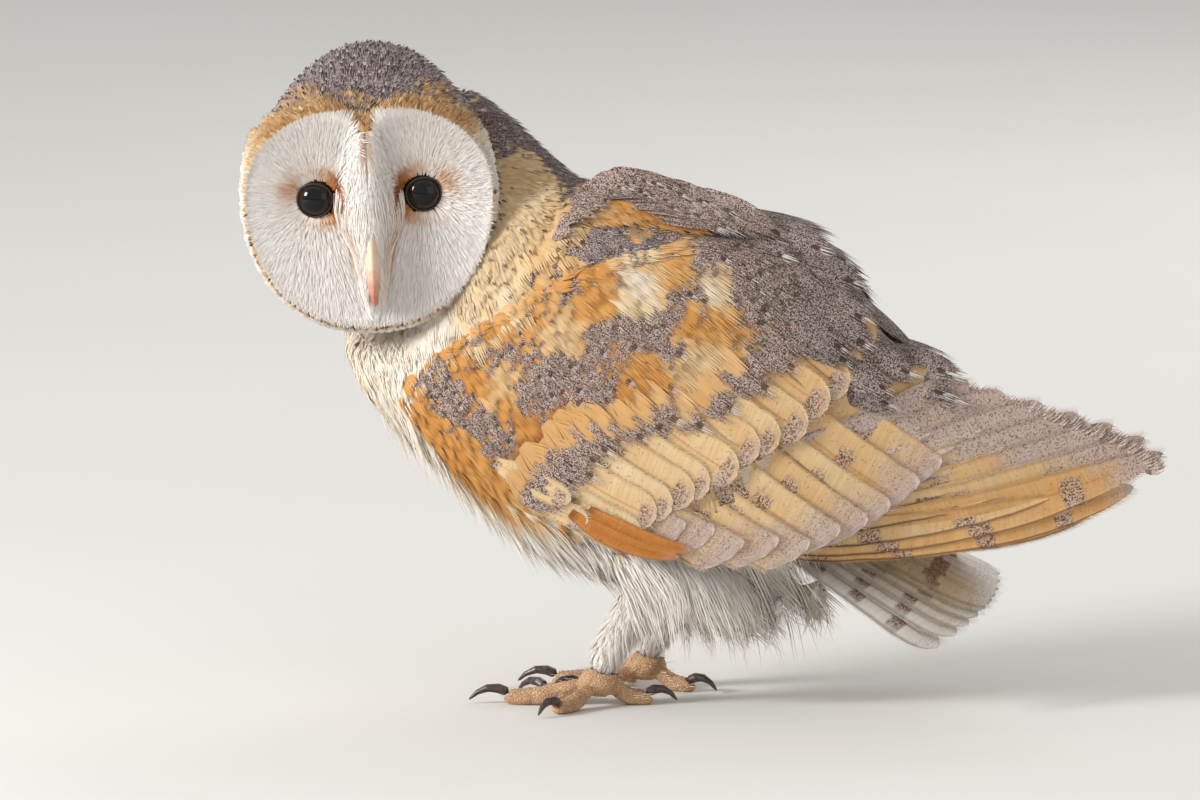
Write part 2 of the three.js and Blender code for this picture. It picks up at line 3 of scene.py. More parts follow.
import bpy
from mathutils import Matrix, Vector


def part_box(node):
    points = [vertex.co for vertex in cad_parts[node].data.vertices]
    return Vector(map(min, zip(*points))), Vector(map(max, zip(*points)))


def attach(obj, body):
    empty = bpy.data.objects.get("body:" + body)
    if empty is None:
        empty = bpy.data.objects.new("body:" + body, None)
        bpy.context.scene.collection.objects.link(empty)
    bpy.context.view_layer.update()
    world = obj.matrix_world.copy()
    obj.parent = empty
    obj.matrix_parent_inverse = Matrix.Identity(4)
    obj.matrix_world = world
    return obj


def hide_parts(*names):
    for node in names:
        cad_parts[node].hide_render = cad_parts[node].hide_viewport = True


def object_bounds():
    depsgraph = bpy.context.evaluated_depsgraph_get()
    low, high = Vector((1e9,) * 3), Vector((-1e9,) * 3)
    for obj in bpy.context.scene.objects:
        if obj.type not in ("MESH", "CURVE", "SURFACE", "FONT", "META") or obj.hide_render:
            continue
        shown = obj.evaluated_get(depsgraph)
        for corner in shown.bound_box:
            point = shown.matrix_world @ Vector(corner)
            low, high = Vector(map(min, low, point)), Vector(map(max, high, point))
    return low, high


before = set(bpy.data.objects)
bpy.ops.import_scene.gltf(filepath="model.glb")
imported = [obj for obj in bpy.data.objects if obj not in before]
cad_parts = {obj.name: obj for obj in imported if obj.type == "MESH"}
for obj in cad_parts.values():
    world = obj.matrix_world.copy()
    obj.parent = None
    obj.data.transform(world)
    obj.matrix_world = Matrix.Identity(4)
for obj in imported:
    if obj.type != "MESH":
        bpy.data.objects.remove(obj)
CAD_BOX = [list(corner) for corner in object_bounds()]

import logging
import math
from dataclasses import dataclass, fields, replace
from enum import Enum
from typing import Callable

import bpy
import numpy as np
from mathutils.bvhtree import BVHTree

LOG = logging.getLogger("owl")
MM = 0.001
BODY = "root"
BAKE_MAP = "OFBake"
PATCH = 0.003  # side of one tuft's patch on the unwrap
SHARES = (0.0, 0.5, 1.0)  # shares along a feather at which its lie is given
Array = np.ndarray
Rng = np.random.Generator
Mesh = bpy.types.Mesh
Point = tuple[float, float, float]
Tone = tuple[float, float, float]
Pairs = tuple[tuple[float, float], ...]
Stops = tuple[tuple[float, Tone], ...]


class Slot(Enum):
    """Material slots."""

    FACE = "face_feathers"
    NECK = "neck_feathers"
    BODY = "body_feathers"
    COVERTS = "covert_feathers"
    FLIGHT = "flight_feathers"
    TAIL = "tail_feathers"
    LEGS = "leg_feathers"
    TOES = "toe_skin"
    CLAWS = "claw_horn"
    BILL = "bill_horn"
    EYES = "eye"


class Side(Enum):
    """The bird's sides, as the sign of y."""

    LEFT = -1
    RIGHT = 1

    @property
    def word(self) -> str:
        """The side's name as it ends a node's name."""
        return self.name.lower()


class Part(Enum):
    """Which part of the flesh a place belongs to."""

    HEAD = 0
    NECK = 1
    TRUNK = 2
    WING = 3
    THIGH = 4
    TARSUS = 5


# ---- numbers


def unit(vectors: Array) -> Array:
    """Scales vectors along the last axis to length one."""
    return vectors / np.maximum(np.linalg.norm(vectors, axis=-1, keepdims=True), 1e-9)


def smooth(low: float, high: float, value: Array) -> Array:
    """A smooth step from 0 at low to 1 at high."""
    share = np.clip((value - low) / (high - low), 0, 1)
    return share * share * (3 - 2 * share)


def bell(value: Array, middle: float, width: float) -> Array:
    """A bell curve of height 1."""
    return np.exp(-(((value - middle) / width) ** 2))


def ramp(value: Array, stops: Pairs) -> Array:
    """Reads a table of (place, amount) at each value."""
    return np.interp(value, *zip(*stops))


def waves(points: Array, size: float, seed: int) -> Array:
    """Smooth noise from -1 to 1 with features of about that size.

    Args:
        points: Places, in metres.
        size: Size of a feature, in metres.
        seed: Chooses the pattern.

    Returns:
        One number for each place.
    """
    rng = np.random.default_rng(seed)
    total = np.zeros(len(points))
    for _ in range(6):
        way = unit(rng.normal(size=3))
        pitch = math.tau / (size * rng.uniform(0.7, 1.6))
        total += np.sin(points @ way * pitch + rng.uniform(0, math.tau))
    return total / 3.2


def along(rows: Array, share: Array) -> Array:
    """Reads a smooth curve through rows of numbers at shares from 0 to 1.

    Args:
        rows: One row of numbers for each point of the curve.
        share: Where to read it.

    Returns:
        One row for each share.
    """
    rows = np.asarray(rows, float)
    place = np.clip(share, 0, 1) * (len(rows) - 1)
    first = np.minimum(place.astype(int), len(rows) - 2)
    t = (place - first)[:, None]
    ends = np.vstack([2 * rows[0] - rows[1], rows, 2 * rows[-1] - rows[-2]])
    a, b, c, d = (ends[first + step] for step in range(4))
    return 0.5 * (2 * b + (c - a) * t + (2 * a - 5 * b + 4 * c - d) * t**2 + (3 * b - a - 3 * c + d) * t**3)


def tone(red: int, green: int, blue: int) -> Tone:
    """A colour on the usual 0 to 255 scale, as linear light."""

    def linear(level: float) -> float:
        """One channel as linear light."""
        share = level / 255
        return share / 12.92 if share <= 0.04045 else ((share + 0.055) / 1.055) ** 2.4

    return linear(red), linear(green), linear(blue)


# ---- shaders


class Value:
    """A number or colour that flows through a material."""

    def __init__(self, graph: "Graph", socket: bpy.types.NodeSocket) -> None:
        """Wraps one output socket."""
        self.graph = graph
        self.socket = socket

    def _math(self, operation: str, first: "Value | float", second: "Value | float" = 0.0) -> "Value":
        """Adds one Math node."""
        return self.graph.value("ShaderNodeMath", {"operation": operation}, {0: first, 1: second})

    def __add__(self, other: "Value | float") -> "Value":
        """Sum."""
        return self._math("ADD", self, other)

    __radd__ = __add__

    def __mul__(self, other: "Value | float") -> "Value":
        """Product."""
        return self._math("MULTIPLY", self, other)

    __rmul__ = __mul__

    def __sub__(self, other: "Value | float") -> "Value":
        """Difference."""
        return self._math("SUBTRACT", self, other)

    def __rsub__(self, other: "Value | float") -> "Value":
        """Difference, the other way round."""
        return self._math("SUBTRACT", other, self)

    def __truediv__(self, other: "Value | float") -> "Value":
        """Quotient."""
        return self._math("DIVIDE", self, other)

    def size(self) -> "Value":
        """The number without its sign."""
        return self._math("ABSOLUTE", self)

    def wave(self) -> "Value":
        """Its sine."""
        return self._math("SINE", self)

    def larger(self, other: "Value | float") -> "Value":
        """The larger of two."""
        return self._math("MAXIMUM", self, other)

    def step(self, low: float, high: float) -> "Value":
        """A smooth step from 0 at low to 1 at high; low may be the larger."""
        start, end, first, last = (low, high, 0.0, 1.0) if low < high else (high, low, 1.0, 0.0)
        inputs = {"Value": self, "From Min": start, "From Max": end, "To Min": first, "To Max": last}
        return self.graph.value("ShaderNodeMapRange", {"interpolation_type": "SMOOTHSTEP"}, inputs)


class Graph:
    """The nodes of one material or world."""

    def __init__(self, name: str, world: bool = False) -> None:
        """Starts a material or world with its usual nodes."""
        self.owner = (bpy.data.worlds if world else bpy.data.materials).new(name)
        self.owner.use_nodes = True
        self.tree = self.owner.node_tree

    def node(self, kind: str, settings: dict | None = None, inputs: dict | None = None) -> bpy.types.Node:
        """Adds one node.

        Args:
            kind: The node's type.
            settings: Its settings, which are set first; a ramp's are its stops.
            inputs: Values or links for its sockets, by name or number.

        Returns:
            The node.
        """
        made = self.tree.nodes.new(kind)
        for key, setting in (settings or {}).items():
            if key == "stops":
                self._set_stops(made, setting)
            else:
                setattr(made, key, setting)
        for key, given in (inputs or {}).items():
            self.feed(made.inputs[key], given)
        return made

    @staticmethod
    def _set_stops(made: bpy.types.Node, stops: Stops) -> None:
        """Gives a colour ramp its stops."""
        elements = made.color_ramp.elements
        while len(elements) < len(stops):
            elements.new(0.5)
        for element, (place, colour) in zip(elements, stops):
            element.position = place
            element.color = (*colour, 1.0)

    def feed(self, socket: bpy.types.NodeSocket, given: "Value | float | tuple") -> None:
        """Links or sets one input socket."""
        if isinstance(given, Value):
            self.tree.links.new(given.socket, socket)
        elif isinstance(given, tuple) and socket.type == "RGBA":
            socket.default_value = (*given, 1.0)
        else:
            socket.default_value = given

    def value(
        self, kind: str, settings: dict | None = None, inputs: dict | None = None, output: int | str = 0
    ) -> Value:
        """Adds one node and wraps one of its outputs."""
        return Value(self, self.node(kind, settings, inputs).outputs[output])

    def attribute(self, name: str) -> tuple[Value, Value, Value]:
        """The three numbers of a vector attribute."""
        vector = self.value("ShaderNodeAttribute", {"attribute_name": name}, output="Vector")
        parts = self.node("ShaderNodeSeparateXYZ", None, {0: vector})
        return tuple(Value(self, part) for part in parts.outputs)

    def vector(self, x: Value | float, y: Value | float, z: Value | float) -> Value:
        """A vector from three numbers."""
        return self.value("ShaderNodeCombineXYZ", None, {0: x, 1: y, 2: z})

    def vectors(self, operation: str, first: Value | Point, second: Value | Point = (0.0, 0.0, 0.0)) -> Value:
        """Adds one Vector Math node."""
        output = "Value" if operation == "DOT_PRODUCT" else "Vector"
        return self.value("ShaderNodeVectorMath", {"operation": operation}, {0: first, 1: second}, output)

    def place(self) -> Value:
        """The place on the object, in metres."""
        return self.value("ShaderNodeTexCoord", output="Object")

    def noise(self, vector: Value, scale: float, detail: float = 2.0, warp: float = 0.0) -> Value:
        """Noise from 0 to 1."""
        inputs = {"Vector": vector, "Scale": scale, "Detail": detail, "Distortion": warp}
        return self.value("ShaderNodeTexNoise", None, inputs)

    def ramp(self, place: Value, stops: Stops) -> Value:
        """A colour read from stops."""
        return self.value("ShaderNodeValToRGB", {"stops": stops}, {0: place})

    def mix(
        self, factor: Value | float, first: Value | Tone, second: Value | Tone, blend: str = "MIX"
    ) -> Value:
        """Mixes two colours."""
        settings = {"data_type": "RGBA", "blend_type": blend}
        return self.value("ShaderNodeMix", settings, {0: factor, 6: first, 7: second}, 2)

    def bump(self, height: Value, strength: float, distance: float) -> Value:
        """A normal from a height."""
        inputs = {"Height": height, "Strength": strength, "Distance": distance}
        return self.value("ShaderNodeBump", None, inputs, output="Normal")

    def close(self, **sockets: "Value | float | tuple") -> bpy.types.Material:
        """Feeds the shader, with underscores for spaces in its sockets' names."""
        for name, given in sockets.items():
            self.feed(self.tree.nodes["Principled BSDF"].inputs[name.replace("_", " ")], given)
        return self.owner


# Colours of the plumage, shared by the skin and every feather on it.
WHITE = tone(232, 227, 220)
CREAM = tone(219, 193, 150)
GOLD = tone(204, 147, 78)
ORANGE = tone(180, 108, 42)
RUST = tone(150, 84, 40)
DARK = tone(66, 50, 46)
WARM_STOPS = ((0.0, WHITE), (0.36, CREAM), (0.7, GOLD), (0.93, ORANGE), (1.0, RUST))
RUSTY_STOPS = (
    (0.0, tone(252, 247, 241)), (0.3, tone(234, 208, 184)), (0.7, tone(194, 128, 78)),
    (1.0, tone(132, 74, 42)),
)
RIM_STOPS = (
    (0.0, WHITE), (0.35, tone(230, 208, 174)), (0.65, tone(208, 164, 108)), (0.85, tone(168, 112, 64)),
    (1.0, tone(88, 60, 44)),
)
BROWN = tone(110, 74, 48)
ASH = tone(192, 172, 160)
SMOKE = tone(84, 61, 53)


@dataclass(frozen=True)
class PlumageFinish:
    """Soft contour feathers: a warm ground, a grained grey tip and a terminal spot.

    The vane attribute holds the share along, the share across and a number of the feather.
    The tone attribute holds how warm it is, how much of its tip is grey and how strong its spot is.
    """

    name: str
    grain: float = 1850.0  # grains of the grey to a metre
    pale: Tone = ASH
    dark: Tone = SMOKE
    dark_share: float = 0.5
    drop: float = 0.75  # strength of the white drop beyond the spot
    streaks: float = 0.16
    roughness: float = 0.8
    stops: Stops = WARM_STOPS
    vary: float = 0.0  # how much darker some feathers are than others
    dot: Tone = DARK
    dot_size: float = 1.0

    def make(self) -> bpy.types.Material:
        """Builds the material."""
        graph = Graph(self.name)
        share, across, seed = graph.attribute("vane")
        warm, grey, spot = graph.attribute("tone")
        place = graph.place()
        streak = graph.noise(graph.vector(across * 5.0, share * 0.9, seed * 90.0), 1.6, 3.0)
        patchy = graph.noise(place, 160.0, 2.0)
        blend = warm + (streak - 0.5) * 0.12 + (patchy - 0.5) * 0.1 * warm.step(0.02, 0.2)
        ground = graph.ramp(blend, self.stops)
        grained = graph.noise(place, self.grain, 2.5, 0.6) + (streak - 0.5) * 0.25
        middle = 1.0 - self.dark_share
        mottle = graph.mix(grained.step(middle - 0.08, middle + 0.08), self.pale, self.dark)
        edge = share + grey - 1.0 + (patchy - 0.5) * 0.3 + (streak - 0.5) * 0.2
        cover = edge.step(-0.02, 0.14) * grey.step(0.02, 0.12)
        colour = graph.mix(cover, ground, mottle)
        side = across / (0.24 * self.dot_size)
        away = (share - 0.8) / (0.08 * self.dot_size)
        dot = (side * side + away * away + (grained - 0.5) * 0.45).step(1.25, 0.6) * spot
        beyond = (share - 0.92) / 0.08
        white = (side * side * 0.5 + beyond * beyond).step(1.3, 0.7) * spot * self.drop
        colour = graph.mix(dot, colour, self.dot)
        colour = graph.mix(white * cover, colour, WHITE)
        shade = graph.mix(streak.step(0.25, 0.75), (0.78, 0.76, 0.75), (1.0, 1.0, 1.0))
        colour = graph.mix(self.streaks * 4, colour, graph.mix(1.0, colour, shade, "MULTIPLY"))
        if self.vary:
            colour = graph.mix(seed * self.vary, colour, (0.0, 0.0, 0.0))
        normal = graph.bump(streak + grained * 0.5, 0.35, 0.0004)
        rough = self.roughness
        return graph.close(Base_Color=colour, Roughness=rough, Normal=normal, Specular_IOR_Level=0.25)


@dataclass(frozen=True)
class FlightFinish:
    """Large stiff feathers: barred, with grained pale tips and a dark line along one edge.

    The tone attribute holds how warm the feather is, how far its pale tip reaches, in metres,
    and its length, in metres.
    """

    name: str
    bar_pitch: float = 0.028
    bar_start: float = 0.03  # first bar's distance from the tip
    bar_width: float = 0.2  # share of the pitch that a bar fills
    bars: float = 1.0  # strength of the bars
    solid_bars: float = 0.0  # how plain their brown is
    bar_side: float = 0.75  # where bars end across the vane, from its lower edge
    grain: float = 1400.0
    edge_line: float = 0.6
    tip: Tone = ASH
    scatter: float = 0.0  # how far bars of neighbouring feathers miss each other, as a share of the pitch

    def make(self) -> bpy.types.Material:
        """Builds the material."""
        graph = Graph(self.name)
        share, across, seed = graph.attribute("vane")
        warm, tip_reach, length = graph.attribute("tone")
        place = graph.place()
        from_tip = (1.0 - share) * length
        combed = graph.vector(across.size() * 1.2 + share * length * 900.0, across * 0.6, seed * 70.0)
        barbs = graph.noise(combed, 1.0)
        fine = graph.noise(place, self.grain, 2.0, 0.5)
        patchy = graph.noise(place, 130.0, 2.0)
        blend = warm + (patchy - 0.5) * 0.18 + (barbs - 0.5) * 0.1 - across.size() * 0.1 * warm
        ground = graph.ramp(blend, WARM_STOPS)
        turn = (from_tip - self.bar_start) * (math.tau / self.bar_pitch) + math.pi / 2
        if self.scatter:
            turn = turn + (seed - 0.5) * (self.scatter * math.tau)
        bar = (turn.wave() + (patchy - 0.5) * 0.5).step(1 - self.bar_width * 2.2, 1 - self.bar_width * 0.9)
        bar = bar * from_tip.step(self.bar_start * 0.4, self.bar_start * 0.6) * self.bars
        bar = bar * (across + (patchy - 0.5) * 0.8).step(self.bar_side, self.bar_side - 0.5)
        fleck = fine.step(0.44, 0.56).larger(self.solid_bars)
        colour = graph.mix(bar * fleck, ground, BROWN)
        colour = graph.mix(bar * (1.0 - fleck) * 0.8, colour, ASH)
        paling = ((from_tip - tip_reach) * 60.0 + (patchy - 0.5) * 0.9).step(0.45, -0.75)
        speck = fine.step(0.53, 0.62) * (from_tip * 60.0).step(-0.1, 0.5)
        end = graph.mix(speck * 0.75, self.tip, BROWN)
        colour = graph.mix(paling * tip_reach.step(0.0, 0.002), colour, end)
        flecks = graph.noise(place, self.grain * 0.7, 1.0).step(0.66, 0.72) * (1.0 - bar) * 0.5
        colour = graph.mix(flecks * warm.step(0.1, 0.3), colour, BROWN)
        shaft = across.size().step(0.07, 0.03) * (1.0 - paling) * 0.4
        colour = graph.mix(shaft, colour, ORANGE)
        line = across.step(-0.86, -0.97) * self.edge_line
        colour = graph.mix(line * (1.0 - paling), colour, BROWN)
        shade = graph.mix(barbs.step(0.3, 0.7), (0.86, 0.85, 0.84), (1.0, 1.0, 1.0))
        colour = graph.mix(1.0, colour, shade, "MULTIPLY")
        normal = graph.bump(barbs, 0.4, 0.0004)
        return graph.close(Base_Color=colour, Roughness=0.68, Normal=normal, Specular_IOR_Level=0.3)


@dataclass(frozen=True)
class EyeFinish:
    """A dark brown iris round a black pupil under a wet clear coat."""

    name: str
    ahead: Point
    centre: Point

    def make(self) -> bpy.types.Material:
        """Builds the material."""
        graph = Graph(self.name)
        way = graph.vectors("NORMALIZE", graph.vectors("SUBTRACT", graph.place(), self.centre))
        facing = graph.vectors("DOT_PRODUCT", way, self.ahead)
        fibres = graph.noise(way, 26.0, 3.0)
        iris = graph.mix(fibres, tone(20, 13, 11), tone(46, 30, 24))
        colour = graph.mix(facing.step(0.868, 0.882), iris, tone(8, 7, 8))
        colour = graph.mix(facing.step(0.71, 0.66), colour, tone(20, 14, 13))
        wet = {"Coat_Weight": 1.0, "Coat_Roughness": 0.02, "Coat_IOR": 1.36}
        return graph.close(Base_Color=colour, Roughness=0.4, Specular_IOR_Level=0.0, **wet)


@dataclass(frozen=True)
class HornFinish:
    """Horn of the bill, which darkens towards its tip along one direction."""

    name: str
    base: Tone
    tip: Tone
    way: Point  # direction from the base to the tip
    start: Point
    length: float
    roughness: float = 0.35

    def make(self) -> bpy.types.Material:
        """Builds the material."""
        graph = Graph(self.name)
        place = graph.place()
        share = graph.vectors("DOT_PRODUCT", graph.vectors("SUBTRACT", place, self.start), self.way)
        mottled = graph.noise(place, 420.0, 4.0)
        grown = graph.noise(place, 1500.0, 2.0)
        blend = (share / self.length + (mottled - 0.5) * 0.35).step(0.35, 1.0)
        colour = graph.mix(blend, self.base, self.tip)
        colour = graph.mix((grown - 0.5).step(0.05, 0.3) * 0.5, colour, self.tip)
        normal = graph.bump(grown + mottled, 0.15, 0.0002)
        roughness = mottled * 0.3 + (self.roughness - 0.15)
        return graph.close(Base_Color=colour, Roughness=roughness, Normal=normal, Specular_IOR_Level=0.5)


@dataclass(frozen=True)
class ToeFinish:
    """Scaly toe skin: small plates with darker creases, and browner patches."""

    name: str

    def make(self) -> bpy.types.Material:
        """Builds the material."""
        graph = Graph(self.name)
        place = graph.place()
        settings = {"feature": "DISTANCE_TO_EDGE"}
        crease = graph.value("ShaderNodeTexVoronoi", settings, {"Vector": place, "Scale": 900.0})
        plate = graph.value("ShaderNodeTexVoronoi", None, {"Vector": place, "Scale": 900.0}, "Distance")
        patchy = graph.noise(place, 220.0, 3.0)
        skin = graph.mix(patchy.step(0.35, 0.68), tone(220, 178, 132), tone(184, 146, 112))
        skin = graph.mix(graph.noise(place, 90.0, 2.0).step(0.5, 0.75) * 0.5, skin, tone(208, 144, 102))
        colour = graph.mix(crease.step(0.12, 0.02) * 0.7, skin, tone(140, 104, 80))
        normal = graph.bump(crease.step(0.0, 0.25) - plate * 0.3, 0.6, 0.0005)
        return graph.close(Base_Color=colour, Roughness=0.6, Normal=normal, Specular_IOR_Level=0.35)


@dataclass(frozen=True)
class PlainFinish:
    """One colour, slightly mottled, for lids and claws."""

    name: str
    first: Tone
    second: Tone
    roughness: float = 0.6

    def make(self) -> bpy.types.Material:
        """Builds the material."""
        graph = Graph(self.name)
        mottled = graph.noise(graph.place(), 700.0, 3.0)
        colour = graph.mix(mottled.step(0.3, 0.7), self.first, self.second)
        normal = graph.bump(mottled, 0.3, 0.0003)
        return graph.close(Base_Color=colour, Roughness=self.roughness, Normal=normal)


Finish = PlumageFinish | FlightFinish | EyeFinish | HornFinish | ToeFinish | PlainFinish


# ---- meshes


@dataclass
class Sheets:
    """Arrays of a mesh that is still being gathered."""

    points: Array
    quads: Array
    triangles: Array
    uv: Array
    vane: Array
    tones: Array

    @staticmethod
    def joined(parts: list["Sheets"]) -> "Sheets":
        """Joins several into one."""
        starts = np.cumsum([0] + [len(part.points) for part in parts])
        moved = [replace(part, quads=part.quads + start, triangles=part.triangles + start)
                 for part, start in zip(parts, starts)]
        names = [field.name for field in fields(Sheets)]
        return Sheets(*(np.concatenate([getattr(part, name) for part in moved]) for name in names))

    def mesh(self, name: str) -> Mesh:
        """Makes the Blender mesh, with its bake map and attributes."""
        mesh = bpy.data.meshes.new(name)
        corners = np.concatenate([self.quads.ravel(), self.triangles.ravel()]).astype(np.int32)
        totals = np.concatenate([np.full(len(self.quads), 4), np.full(len(self.triangles), 3)])
        mesh.vertices.add(len(self.points))
        mesh.vertices.foreach_set("co", self.points.astype(np.float32).ravel())
        mesh.loops.add(len(corners))
        mesh.loops.foreach_set("vertex_index", corners)
        mesh.polygons.add(len(totals))
        starts = np.concatenate([[0], np.cumsum(totals)[:-1]])
        mesh.polygons.foreach_set("loop_start", starts.astype(np.int32))
        smoothed(mesh).update(calc_edges=True)
        layer = mesh.uv_layers.new(name=BAKE_MAP)
        layer.data.foreach_set("uv", self.uv[corners].astype(np.float32).ravel())
        give_attribute(mesh, "vane", self.vane)
        give_attribute(mesh, "tone", self.tones)
        mesh.validate()
        return mesh


def give_attribute(mesh: Mesh, name: str, values: Array) -> None:
    """Stores one vector for each vertex."""
    made = mesh.attributes.new(name, "FLOAT_VECTOR", "POINT")
    made.data.foreach_set("vector", values.astype(np.float32).ravel())


def add_piece(name: str, data: bpy.types.ID) -> bpy.types.Object:
    """Links a new object that shows a mesh, lamp or camera."""
    piece = bpy.data.objects.new(name, data)
    bpy.context.scene.collection.objects.link(piece)
    return piece


def dress(piece: bpy.types.Object, finish: Finish, nodes: list[str] | None = None) -> None:
    """Gives a piece its finish and body, and says which nodes it stands for."""
    piece.data.materials.clear()
    piece.data.materials.append(finish.make())
    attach(piece, BODY)
    if nodes:
        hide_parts(*nodes)
    piece.data.calc_loop_triangles()
    LOG.info("%s: %d triangles", piece.name, len(piece.data.loop_triangles))


def show(name: str, shape: Mesh | Sheets, finish: Finish, nodes: list[str] | None = None) -> None:
    """Adds and dresses a piece."""
    dress(add_piece(name, shape.mesh(name) if isinstance(shape, Sheets) else shape), finish, nodes)


def column(items: bpy.types.bpy_prop_collection, name: str, width: int, kind: type = float) -> Array:
    """Reads one property of many items, a row of numbers each."""
    found = np.zeros(len(items) * width, np.float32 if kind is float else np.int32)
    items.foreach_get(name, found)
    return found.reshape(-1, width).astype(kind)


def move_to(mesh: Mesh, points: Array) -> None:
    """Moves a mesh's vertices."""
    mesh.vertices.foreach_set("co", points.astype(np.float32).ravel())
    mesh.update()


def smoothed(mesh: Mesh) -> Mesh:
    """Shades a mesh smooth."""
    mesh.polygons.foreach_set("use_smooth", np.ones(len(mesh.polygons), bool))
    return mesh


def plain_mesh(name: str, points: Array, faces: list[tuple[int, ...]]) -> Mesh:
    """A smooth mesh from vertices and faces."""
    mesh = bpy.data.meshes.new(name)
    mesh.from_pydata(points.tolist(), [], faces)
    mesh.update()
    return smoothed(mesh)


def grid_faces(rows: int, sides: int) -> list[tuple[int, ...]]:
    """Faces between closed rings of vertices."""
    turns = [(k, (k + 1) % sides) for k in range(sides)]
    steps = range(0, (rows - 1) * sides, sides)
    return [(low + a, low + b, low + b + sides, low + a + sides) for low in steps for a, b in turns]


def node_arrays(nodes: list[str]) -> tuple[Array, Array, Array]:
    """Vertices and triangles of CAD nodes together, and the number of each triangle's node."""
    points, corners, owners = [], [], []
    start = 0
    for number, node in enumerate(nodes):
        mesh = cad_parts[node].data
        mesh.calc_loop_triangles()
        points.append(column(mesh.vertices, "co", 3))
        corners.append(column(mesh.loop_triangles, "vertices", 3, int) + start)
        owners.append(np.full(len(corners[-1]), number))
        start += len(points[-1])
    return np.concatenate(points), np.concatenate(corners), np.concatenate(owners)


def remeshed(name: str, nodes: list[str], voxel: float, rounds: int) -> Mesh:
    """Joins copies of nodes into one closed surface.

    Args:
        name: The mesh's name.
        nodes: The CAD nodes.
        voxel: Size of the remesh, in metres.
        rounds: Rounds of smoothing.

    Returns:
        The new mesh.
    """
    points, corners, _ = node_arrays(nodes)
    rough = bpy.data.meshes.new(name + "_rough")
    rough.from_pydata(points.tolist(), [], corners.tolist())
    rough.update()
    helper = add_piece(name + "_helper", rough)
    remesh = helper.modifiers.new("remesh", "REMESH")
    remesh.mode = "VOXEL"
    remesh.voxel_size = voxel
    soften = helper.modifiers.new("soften", "SMOOTH")
    soften.factor = 0.5
    soften.iterations = rounds
    mesh = bpy.data.meshes.new_from_object(helper.evaluated_get(bpy.context.evaluated_depsgraph_get()))
    mesh.name = name
    bpy.data.objects.remove(helper)
    bpy.data.meshes.remove(rough)
    return smoothed(mesh)


# ---- laying feathers


@dataclass
class Lay:
    """Where feathers lie: three places along each and the outward direction there."""

    places: Array  # (count, 3, 3)
    outward: Array  # (count, 3, 3)
    widths: Array  # half widths
    uv: Array
    tones: Array
    seeds: Array
    patch: float = PATCH  # side of each feather's patch on the bake map

    @staticmethod
    def joined(lays: list["Lay"]) -> "Lay":
        """Joins several lays, and gives every feather its own field of one grid on the bake map."""
        names = ("places", "outward", "widths", "tones", "seeds")
        found = {name: np.concatenate([getattr(lay, name) for lay in lays]) for name in names}
        number = np.arange(len(found["seeds"]))
        cells = math.ceil(math.sqrt(len(number)))
        uv = (np.stack([number % cells, number // cells], axis=1) + 0.5) / cells
        return Lay(uv=uv, patch=0.9 / cells, **found)

    @staticmethod
    def of(
        at: Callable[[float], tuple[Array, Array]], widths: Array, tones: Array, rng: Rng,
        uv: Array | None = None,
    ) -> "Lay":
        """Lays feathers.

        Args:
            at: Gives their places and outward directions at a share along them.
            widths: Their half widths.
            tones: Their tones.
            rng: Source of the number that each gets.
            uv: Their places on the bake map, unless they get fields of it.

        Returns:
            The lay.
        """
        places, outward = zip(*(at(share) for share in SHARES))
        uv = np.zeros((len(tones), 2)) if uv is None else uv
        seeds = rng.uniform(0, 1, len(tones))
        return Lay(np.stack(places, 1), np.stack(outward, 1), widths, uv, tones, seeds)

    @property
    def count(self) -> int:
        """How many feathers it holds."""
        return len(self.places)

    @property
    def lengths(self) -> Array:
        """Length of each feather."""
        return np.linalg.norm(np.diff(self.places, axis=1), axis=2).sum(axis=1)

    def spread(self, values: Array, share: Array) -> Array:
        """Gives one value for each feather the shape of shares along them."""
        return values.reshape(-1, *(1,) * (share.ndim - 1), *values.shape[1:])

    def marks(self, share: Array, across: Array) -> tuple[Array, Array]:
        """The vane and tone attributes of vertices at shares along and across their feathers."""
        seeds = np.broadcast_to(self.spread(self.seeds, share), share.shape)
        tones = np.broadcast_to(self.spread(self.tones, share), (*share.shape, 3))
        return np.stack([share, across, seeds], axis=-1).reshape(-1, 3), tones.reshape(-1, 3)

    def at(self, share: Array) -> tuple[Array, Array, Array]:
        """Reads every feather at shares along it.

        Args:
            share: One row of shares for each feather, of any further shape.

        Returns:
            Places, outward directions and directions to the feather's side.
        """
        a, b, c = (self.spread(self.places[:, k], share) for k in range(3))
        s = share[..., None]
        first, second, third = (1 - s) * (1 - 2 * s), 4 * s * (1 - s), s * (2 * s - 1)
        place = a * first + b * second + c * third
        way = unit(a * (4 * s - 3) + b * (4 - 8 * s) + c * (4 * s - 1))
        n, m, o = (self.spread(self.outward[:, k], share) for k in range(3))
        out = unit(n * (1 - s) ** 2 + m * 2 * s * (1 - s) + o * s**2)
        side = unit(np.cross(way, out))
        return place, unit(np.cross(side, way)), side


